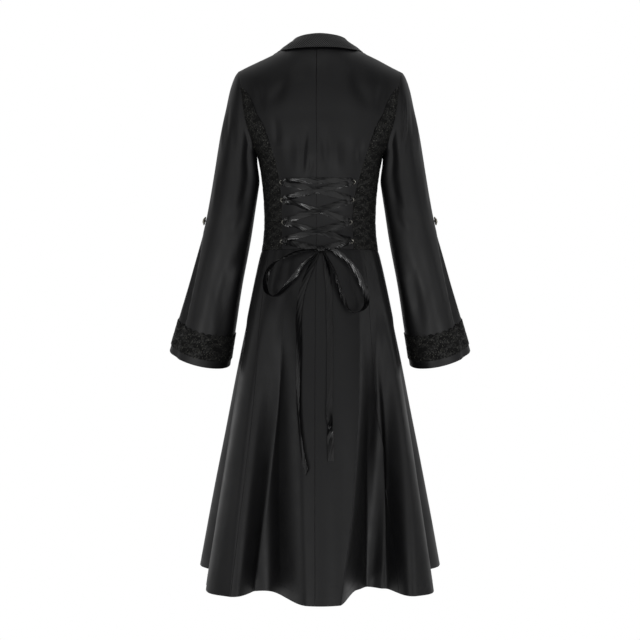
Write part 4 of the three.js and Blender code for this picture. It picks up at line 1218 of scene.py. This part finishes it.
low, high = LACE["low"], LACE["high"]
lace("lace_top", hole(0, 1, 1, high), hole(0, -1, 1, low) + (True,), (0, 20, 24, 6, 0, -4, 0))
TWISTS = [
    ((0, -8, -4, 6, 0, -4, 0), (0, 4, 0, -6, -24, -26, 0)),
    ((0, 8, 22, 23, 10, 0, 0), (0, 8, 0, 6, -8, -24, 0)),
    ((0, 8, 20, 8, 0, -6, 0), (0, 0, -4, 0, -22, -12, 0)),
]
for row, twists in enumerate(TWISTS):
    for word, side, lift, twist in (("right", 1, low, twists[0]), ("left", -1, high, twists[1])):
        end = hole(row + 1, -side, 1, lift) + (True,)
        lace(f"lace_{row + 1}_down_{word}", hole(row, side, -1, lift), end, twist)


def at_knot(side):
    return (KNOT["x"] + side * (KNOT["wide"] - 3), KNOT["z"] + 2, 5, False)


lace("lace_end_left", hole(3, 1, -1, low), at_knot(1), (0, 20, 24, 8, 0))
lace("lace_end_right", hole(3, -1, -1, high), at_knot(-1), (0, -14, -24, -16, 0))

# %% [markdown]
# The bow has two loops that stand away from the skirt. Their ribbon is turned nearly on edge, so the camera
# sees it as thin bright lines. The knot itself is ribbon drawn tight over ribbon, which shows as
# a small barrel with soft folds round it.

# %% Bow and knot
BOW_LEFT = [
    (4.5, -452.5, 11.5, 55), (28, -456, 14, 40), (52, -462, 15, 40), (76, -472, 16, 60), (95, -485, 15.5, 82),
    (107, -506, 15, 96), (112, -529, 14, 98), (109, -547, 13, 96), (97, -554, 12, 88), (84, -549, 12, 75),
    (69, -533, 13, 55), (50, -511, 14, 41), (35, -490, 15, 42), (3, -456.5, 12, 50),
]
BOW_RIGHT = [
    (-8.5, -452, 11.5, 55), (-28, -457, 14, 35), (-43, -468, 15, 38), (-59, -484, 16, 45),
    (-73, -504, 16, 50),
    (-85, -527, 15, 45), (-93, -549, 14, 50), (-94, -571, 13, 75), (-85, -585, 12, 88), (-70, -590, 12, 88),
    (-58, -581, 12, 55), (-48, -560, 13, 28), (-38, -533, 14, 29), (-29, -502, 15, 33), (-7, -456.5, 12, 45),
]


def swelling(t):
    return RIBBON["width"] * mix(0.3, 1, np.minimum(1, np.sin(np.pi * t) * 3))


for word, route in (("left", BOW_LEFT), ("right", BOW_RIGHT)):
    grid, _ = ribbon_grid(route, swelling, 150, cup=0.12, ruffle=0.3)
    piece = wall(f"bow_{word}_ribbon", grid, RIBBON["thick"], 1)
    dress(piece, ribbon_satin, "ribbon", f"bow_{word}")
    sheet(piece, grid)


def closed_skin(grid):
    """Points and faces of a tube of rings whose two ends are closed by a middle point."""
    rows, columns = grid.shape[:2]
    verts = np.concatenate([grid.reshape(-1, 3), [grid[0].mean(axis=0)], [grid[-1].mean(axis=0)]])
    r, c = np.meshgrid(np.arange(rows - 1), np.arange(columns), indexing="ij")
    a, b = r * columns + c, r * columns + (c + 1) % columns
    quads = np.stack([a, b, b + columns, a + columns], axis=-1).reshape(-1, 4)
    start, end = rows * columns, (rows - 1) * columns
    first = [[start, (k + 1) % columns, k] for k in range(columns)]
    last = [[start + 1, end + k, end + (k + 1) % columns] for k in range(columns)]
    return verts, quads.tolist() + first + last


def skin_object(name, grid, values=None):
    verts, faces = closed_skin(grid)
    mesh = bpy.data.meshes.new(name)
    mesh.from_pydata((verts * MM).tolist(), [], faces)
    fans = ((f[0], f[i], f[i + 1]) for f in faces for i in range(1, len(f) - 1))
    volume = sum(verts[i] @ np.cross(verts[j], verts[k]) for i, j, k in fans)
    if volume < 0:
        mesh.flip_normals()
    mesh.polygons.foreach_set("use_smooth", np.ones(len(mesh.polygons), bool))
    for key, numbers in (values or {}).items():
        padded = np.concatenate([numbers.ravel(), [numbers[0].mean(), numbers[-1].mean()]])
        kept = mesh.attributes.new(key, "FLOAT", "POINT")
        kept.data.foreach_set("value", padded.astype(np.float32))
    corners = np.empty(len(mesh.loops), np.int32)
    mesh.loops.foreach_get("vertex_index", corners)
    rows, columns = grid.shape[:2]
    flat = np.stack([arc(grid, 0), arc(grid, 1)], axis=-1).reshape(-1, 2)
    flat = np.concatenate([flat, [[0, 0]], [flat[-1]]])
    mesh.uv_layers.new(name="cloth").data.foreach_set("uv", (flat[corners] * MM).astype(np.float32).ravel())
    piece = bpy.data.objects.new(name, mesh)
    scene.collection.objects.link(piece)
    return piece


def local_axes(point, normal):
    right = unit(np.cross([0, 0, 1.0], normal))
    return point, right, unit(np.cross(normal, right)), normal


point, normal = on_back(KNOT["x"], KNOT["z"])
at, right, up, out = local_axes(point + normal * KNOT["lift"], normal)
s = np.sin(np.linspace(-np.pi / 2, np.pi / 2, 41))[1:-1, None]
a = np.linspace(0, 2 * np.pi, 72, endpoint=False)[None, :]
size = (1 - np.abs(s) ** 2.4) ** (1 / 2.2)
folds = 1 + 0.07 * np.sin(9 * s + 1.2 * np.sin(a)) + 0.05 * np.sin(17 * s - 1.6 * np.cos(a))
waist_in = 1 - 0.12 * np.exp(-((s + 0.25 * np.sin(a)) / 0.12) ** 2)
radius = size * folds * waist_in
knot_grid = (
    at + (s * KNOT["wide"] + 0 * a)[..., None] * right
    + (radius * np.cos(a) * KNOT["tall"])[..., None] * up
    + (radius * np.sin(a) * KNOT["deep"])[..., None] * out
)
dress(skin_object("bow_knot_ribbon", knot_grid), ribbon_satin, "ribbon", "bow_knot")

# %% [markdown]
# Rings and buttons are metal. A ring is bent wire. A button is turned from a profile, and its relief of
# petals and beads is added to the surface, with a number that says how high each point stands.

# %% Rings
def torus_grid(at, right, up, out, radius, wire, around=48, section=14):
    a = np.linspace(0, 2 * np.pi, around, endpoint=False)[:, None]
    b = np.linspace(0, 2 * np.pi, section, endpoint=False)[None, :]
    spoke = np.cos(a)[..., None] * right + np.sin(a)[..., None] * up
    return at + spoke * (radius + wire * np.cos(b))[..., None] + (wire * np.sin(b) + 0 * a)[..., None] * out


def wrapped_faces(rows, columns):
    r, c = np.meshgrid(np.arange(rows), np.arange(columns), indexing="ij")
    r2, c2 = (r + 1) % rows, (c + 1) % columns
    corners = [r * columns + c, r2 * columns + c, r2 * columns + c2, r * columns + c2]
    return np.stack(corners, axis=-1).reshape(-1, 4)


for i in range(len(RING_ROWS)):
    for word, side in SIDES:
        point, normal = on_back(*ring_place(i, side))
        axes = local_axes(point + normal * (RING["wire"] + RING["off_cloth"]), normal)
        grid = torus_grid(*axes, RING["radius"], RING["wire"])
        verts, faces = grid.reshape(-1, 3), wrapped_faces(*grid.shape[:2])
        if volume_of(verts, faces) < 0:
            faces = faces[:, ::-1]
        ring = mesh_object(f"ring_{i + 1}_{word}_wire", verts, faces)
        dress(ring, nickel, "ring_metal", f"ring_{i + 1}_{word}")
print(len(RING_ROWS) * len(SIDES), "rings of", 2 * (RING["radius"] + RING["wire"]), "mm")

# %% [markdown]
# The buttons are cast pewter, with a rope round the rim, petals and a small flower on a dome. They could be
# sculpted one by one. One profile, turned round an axis with the relief added as waves, gives the same
# form from a few numbers and makes every button alike.

# %% Buttons
FRONT_BUTTONS = [-288, -322, -356, -418]
BUTTON_OFF = {"sleeve": 0.5, "front": 3.3}  # how far its foot stands off the coat
PROFILE = [
    (0, 0), (2.6, 0), (2.6, 1.2), (9.2, 1.2), (10, 2.1), (9.7, 3.0), (9.1, 3.5), (8.3, 3.4), (7.7, 3.6),
    (7.0, 4.6), (5.6, 5.7), (4.0, 6.3), (2.4, 6.6), (1.2, 6.9), (0, 7),
]


def button(name, at, right, up, out, node_name):
    knots = np.array(PROFILE, float)
    t = np.linspace(0, 1, 60)[1:-1]
    line = np.stack([np.interp(t, np.linspace(0, 1, len(knots)), knots[:, k]) for k in (0, 1)], axis=-1)
    r, h = line[:, :1], line[:, 1:]
    a = np.linspace(0, 2 * np.pi, 96, endpoint=False)[None, :]
    face = ease(h, 2.0, 3.2)
    rope = np.exp(-((r - 9.2) / 0.8) ** 2) * face * (0.5 + 0.5 * np.sin(30 * a + 2 * r))
    petals = ease(r, 3.0, 4.0) * (1 - ease(r, 7.0, 7.8)) * np.abs(np.cos(4 * a + 0.35 * (r - 5))) ** 0.8
    veins = petals * (0.5 + 0.5 * np.sin(6 * r))
    centre = (1 - ease(r, 2.2, 2.9)) * (0.6 + 0.4 * np.cos(6 * a) * ease(r, 0.6, 1.6))
    raised = np.clip(rope + petals * 0.8 + veins * 0.2 + centre, 0, 1) * face
    h = h + 0.75 * raised - 0.35 * face
    grid = at + (r * np.cos(a))[..., None] * right + (r * np.sin(a))[..., None] * up
    grid = grid + (h + 0 * a)[..., None] * out
    piece = skin_object(name, grid, {"raised": raised + 0 * a})
    return dress(piece, pewter, "button_metal", node_name)


for word, side in SIDES:
    at = sleeve_ring(np.float64(90), np.float64(ELBOW)).reshape(3)
    lean = math.radians(float(read(SLEEVE, "out", ELBOW)))
    normal = np.array([side * math.cos(lean), 0, math.sin(lean)])
    at = handed(at, side) + normal * BUTTON_OFF["sleeve"]
    button(f"sleeve_button_{word}_metal", *local_axes(at, normal), f"sleeve_button_{word}")
for i, z in enumerate(FRONT_BUTTONS):
    point, normal = frame_at(np.float64(180), np.float64(z))
    axes = local_axes(point + normal * BUTTON_OFF["front"], normal)
    button(f"front_button_{i + 1}_metal", *axes, f"front_button_{i + 1}")
print(len(SIDES) + len(FRONT_BUTTONS), "buttons")

# %% [markdown]
# Sewing repeats thousands of times, so Geometry Nodes make it. One tree walks along a line, sets a small
# stitch at every step, turns it to follow the line, and ends as real mesh with its thread's material.

# %% A tree that sews
def sewing_tree():
    tree = bpy.data.node_groups.new("stitches", "GeometryNodeTree")
    face = tree.interface
    face.new_socket("Geometry", in_out="INPUT", socket_type="NodeSocketGeometry")
    for label in ("Spacing", "Length", "Thickness"):
        face.new_socket(label, in_out="INPUT", socket_type="NodeSocketFloat")
    face.new_socket("Geometry", in_out="OUTPUT", socket_type="NodeSocketGeometry")
    given = node(tree, "NodeGroupInput")
    curve = node(tree, "GeometryNodeMeshToCurve", {}, {0: given.outputs["Geometry"]})
    places = node(tree, "GeometryNodeCurveToPoints", {"mode": "LENGTH"}, {
        0: curve, "Length": given.outputs["Spacing"],
    })
    grain = node(tree, "GeometryNodeMeshUVSphere", {}, {"Segments": 6, "Rings": 4, "Radius": 0.5})
    size = node(tree, "ShaderNodeCombineXYZ", {}, {
        0: given.outputs["Thickness"], 1: given.outputs["Thickness"], 2: given.outputs["Length"],
    })
    shaped = node(tree, "GeometryNodeTransform", {}, {0: grain, "Scale": size})
    sewn = node(tree, "GeometryNodeInstanceOnPoints", {}, {
        0: places, "Instance": shaped, "Rotation": places.outputs["Rotation"],
    })
    real = node(tree, "GeometryNodeRealizeInstances", {}, {0: sewn})
    smooth = node(tree, "GeometryNodeSetShadeSmooth", {}, {0: real})
    finish = node(tree, "GeometryNodeSetMaterial", {}, {0: smooth, "Material": thread})
    node(tree, "NodeGroupOutput", {}, {0: finish})
    return tree


stitches = sewing_tree()


def sew(name, lines, spacing, length, thickness):
    """Rows of stitches along lines of points, as one piece."""
    verts, edges = [], []
    for line in lines:
        start = len(verts)
        verts += (np.asarray(line) * MM).tolist()
        edges += [(i, i + 1) for i in range(start, len(verts) - 1)]
    path = bpy.data.meshes.new(name + "_path")
    path.from_pydata(verts, edges, [])
    holder = bpy.data.objects.new(name + "_path", path)
    scene.collection.objects.link(holder)
    sewing = holder.modifiers.new("sewing", "NODES")
    sewing.node_group = stitches
    inputs = {item.name: item.identifier for item in stitches.interface.items_tree if item.in_out == "INPUT"}
    for label, value in (("Spacing", spacing), ("Length", length), ("Thickness", thickness)):
        sewing[inputs[label]] = value * MM
    seen = bpy.context.evaluated_depsgraph_get()
    mesh = bpy.data.meshes.new_from_object(holder.evaluated_get(seen))
    mesh.name = name
    bpy.data.objects.remove(holder)
    piece = bpy.data.objects.new(name, mesh)
    scene.collection.objects.link(piece)
    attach(piece, "root")
    print(name, len(mesh.polygons), "faces")
    return piece


def row_of(name, height, off=0.2):
    """A line across a panel at a distance from its first row, just off the cloth."""
    grid = outers[name]
    along = arc(grid, 0)
    inside = range(1, grid.shape[1] - 1)
    lines = [[np.interp(height, along[:, c], grid[:, c, k]) for k in range(3)] for c in inside]
    side = -1 if name.endswith("left") else 1
    if name.startswith(("sleeve", "cuff")):
        side = -side
    normals = grid_normals(grid) * side
    i = np.array([int(np.searchsorted(along[:, c], height)) for c in inside])
    lift = normals[np.clip(i, 0, grid.shape[0] - 1), np.array(inside)] * off
    return np.array(lines) + lift


# The hem is sewn near its edge, the cuffs along their scallops and the waistband along both its edges. The
# three numbers are the spacing, the length and the thickness of a stitch.
SKIRT = ("skirt_back", "skirt_side", "skirt_front")
hem_lines = [row_of(f"{part}_{word}", 22) for part in SKIRT for word, _ in SIDES]
sew("hem_stitches", hem_lines, 5.5, 2.6, 0.5)
cuff_lines = [row_of(f"cuff_{half}_{word}", 2.5) for half, _, _ in HALVES for word, _ in SIDES]
sew("cuff_stitches", cuff_lines, 3.4, 2.2, 0.5)
band_lines = [row_of(f"waistband_{word}", at) for word, _ in SIDES for at in (3.5, 59.5)]
sew("waistband_stitches", band_lines, 3.6, 2.4, 0.5)

# %% [markdown]
# The photograph is a studio cut-out on white. Black satin shows only what it mirrors, so the room is made
# for that: a pale screen on the camera's side that is dark in its middle, where the camera stands, and
# dimmer above. The white backdrop gives every outline its thin bright rim. Two narrow strips at the sides
# draw the long lights of sleeves and skirt, and three low lamps with a soft one above catch the ribbon.
# The floor lies well below the hem, because the wearer holds the coat up.

# %% Stage
def emitter(name, tone, strength):
    made = bpy.data.materials.new(name)
    made.use_nodes = True
    tree = made.node_tree
    tree.nodes.clear()
    glow = node(tree, "ShaderNodeEmission", {}, {"Color": colour(tone), "Strength": strength})
    node(tree, "ShaderNodeOutputMaterial", {}, {0: glow})
    return made


paper = emitter("white_paper", "#ffffff", 1.0)
STAGE = {"floor": -2.1, "behind": -3.2, "half": 5.0}


def plane(name, corners):
    mesh = bpy.data.meshes.new(name)
    mesh.from_pydata(corners, [], [tuple(range(len(corners)))])
    mesh.materials.append(paper)
    piece = bpy.data.objects.new(name, mesh)
    scene.collection.objects.link(piece)
    piece.visible_diffuse = False
    piece.visible_glossy = False


w, f, b = STAGE["half"], STAGE["floor"], STAGE["behind"]
plane("floor", [(-w, b, f), (w, b, f), (w, 4, f), (-w, 4, f)])

# The camera sees plain white. Cloth mirrors the backdrop behind the coat and the screen before it.
world = bpy.data.worlds.new("studio")
scene.world = world
world.use_nodes = True
sky = world.node_tree
way = node(sky, "ShaderNodeSeparateXYZ", {}, {0: node(sky, "ShaderNodeTexCoord").outputs["Generated"]})
screen = remap(sky, way.outputs["Y"], 0.62, 0.9, 0.05, 0.85)
lens = remap(sky, way.outputs["Y"], 0.965, 0.99, 1.0, 0.1)
above = remap(sky, way.outputs["Z"], 0.1, 0.5, 1.0, 0.25)
pale = node(sky, "ShaderNodeMath", {"operation": "MULTIPLY"}, {0: screen, 1: lens})
front = node(sky, "ShaderNodeMath", {"operation": "MULTIPLY"}, {0: pale, 1: above})
backdrop = remap(sky, way.outputs["Y"], 0.25, -0.3, 0.0, 0.5)
room = node(sky, "ShaderNodeMath", {"operation": "ADD"}, {0: front, 1: backdrop})
rays = node(sky, "ShaderNodeLightPath")
glow = node(sky, "ShaderNodeMix", {"data_type": "FLOAT"}, {0: rays.outputs["Is Camera Ray"], 2: room, 3: 1.0})
background = sky.nodes["Background"]
background.inputs["Color"].default_value = colour("#ffffff")
sky.links.new(glow.outputs[0], background.inputs["Strength"])


def lamp(name, at, target, size, power_watts):
    data = bpy.data.lights.new(name, "AREA")
    data.shape = "RECTANGLE"
    data.size, data.size_y = size
    data.energy = power_watts
    made = bpy.data.objects.new(name, data)
    made.location = at
    away = np.array(at) - np.array(target)
    made.rotation_euler = Vector(away).to_track_quat("Z", "Y").to_euler()
    scene.collection.objects.link(made)


lamp("left_strip", (2.5, 0.5, -0.8), (0, 0, -0.75), (0.15, 0.4), 2)
lamp("right_strip", (-2.5, 0.6, -0.25), (0, 0, -0.5), (0.09, 1.5), 3.2)
lamp("low_strip", (0, 1.7, -2.3), (0, 0, -0.4), (1.8, 0.1), 9)
lamp("low_left", (1.15, 1.85, -1.7), (0, 0.1, -0.5), (0.34, 0.34), 5)
lamp("low_right", (-1.35, 1.7, -1.7), (0, 0.1, -0.5), (0.34, 0.34), 5)
lamp("top_softbox", (0, 0.9, 1.3), (0, 0, -0.2), (1.4, 0.3), 2)
scene.view_settings.view_transform = "Standard"

# %% [markdown]
# Last come the counts and the flat sizes of the cloth, so that the dressed coat can be
# held against its solids.

# %% Sizes, for comparing with the solids
shown = sum(len(o.data.polygons) for o in scene.objects if o.type == "MESH" and not o.hide_render)
print("about", shown * 2, "triangles;", len(cut), "cut pieces")
for name, (wide, long, area) in cut.items():
    print(f"  {name}: {wide / MM:.0f} x {long / MM:.0f} mm, {area:.3f} m2")
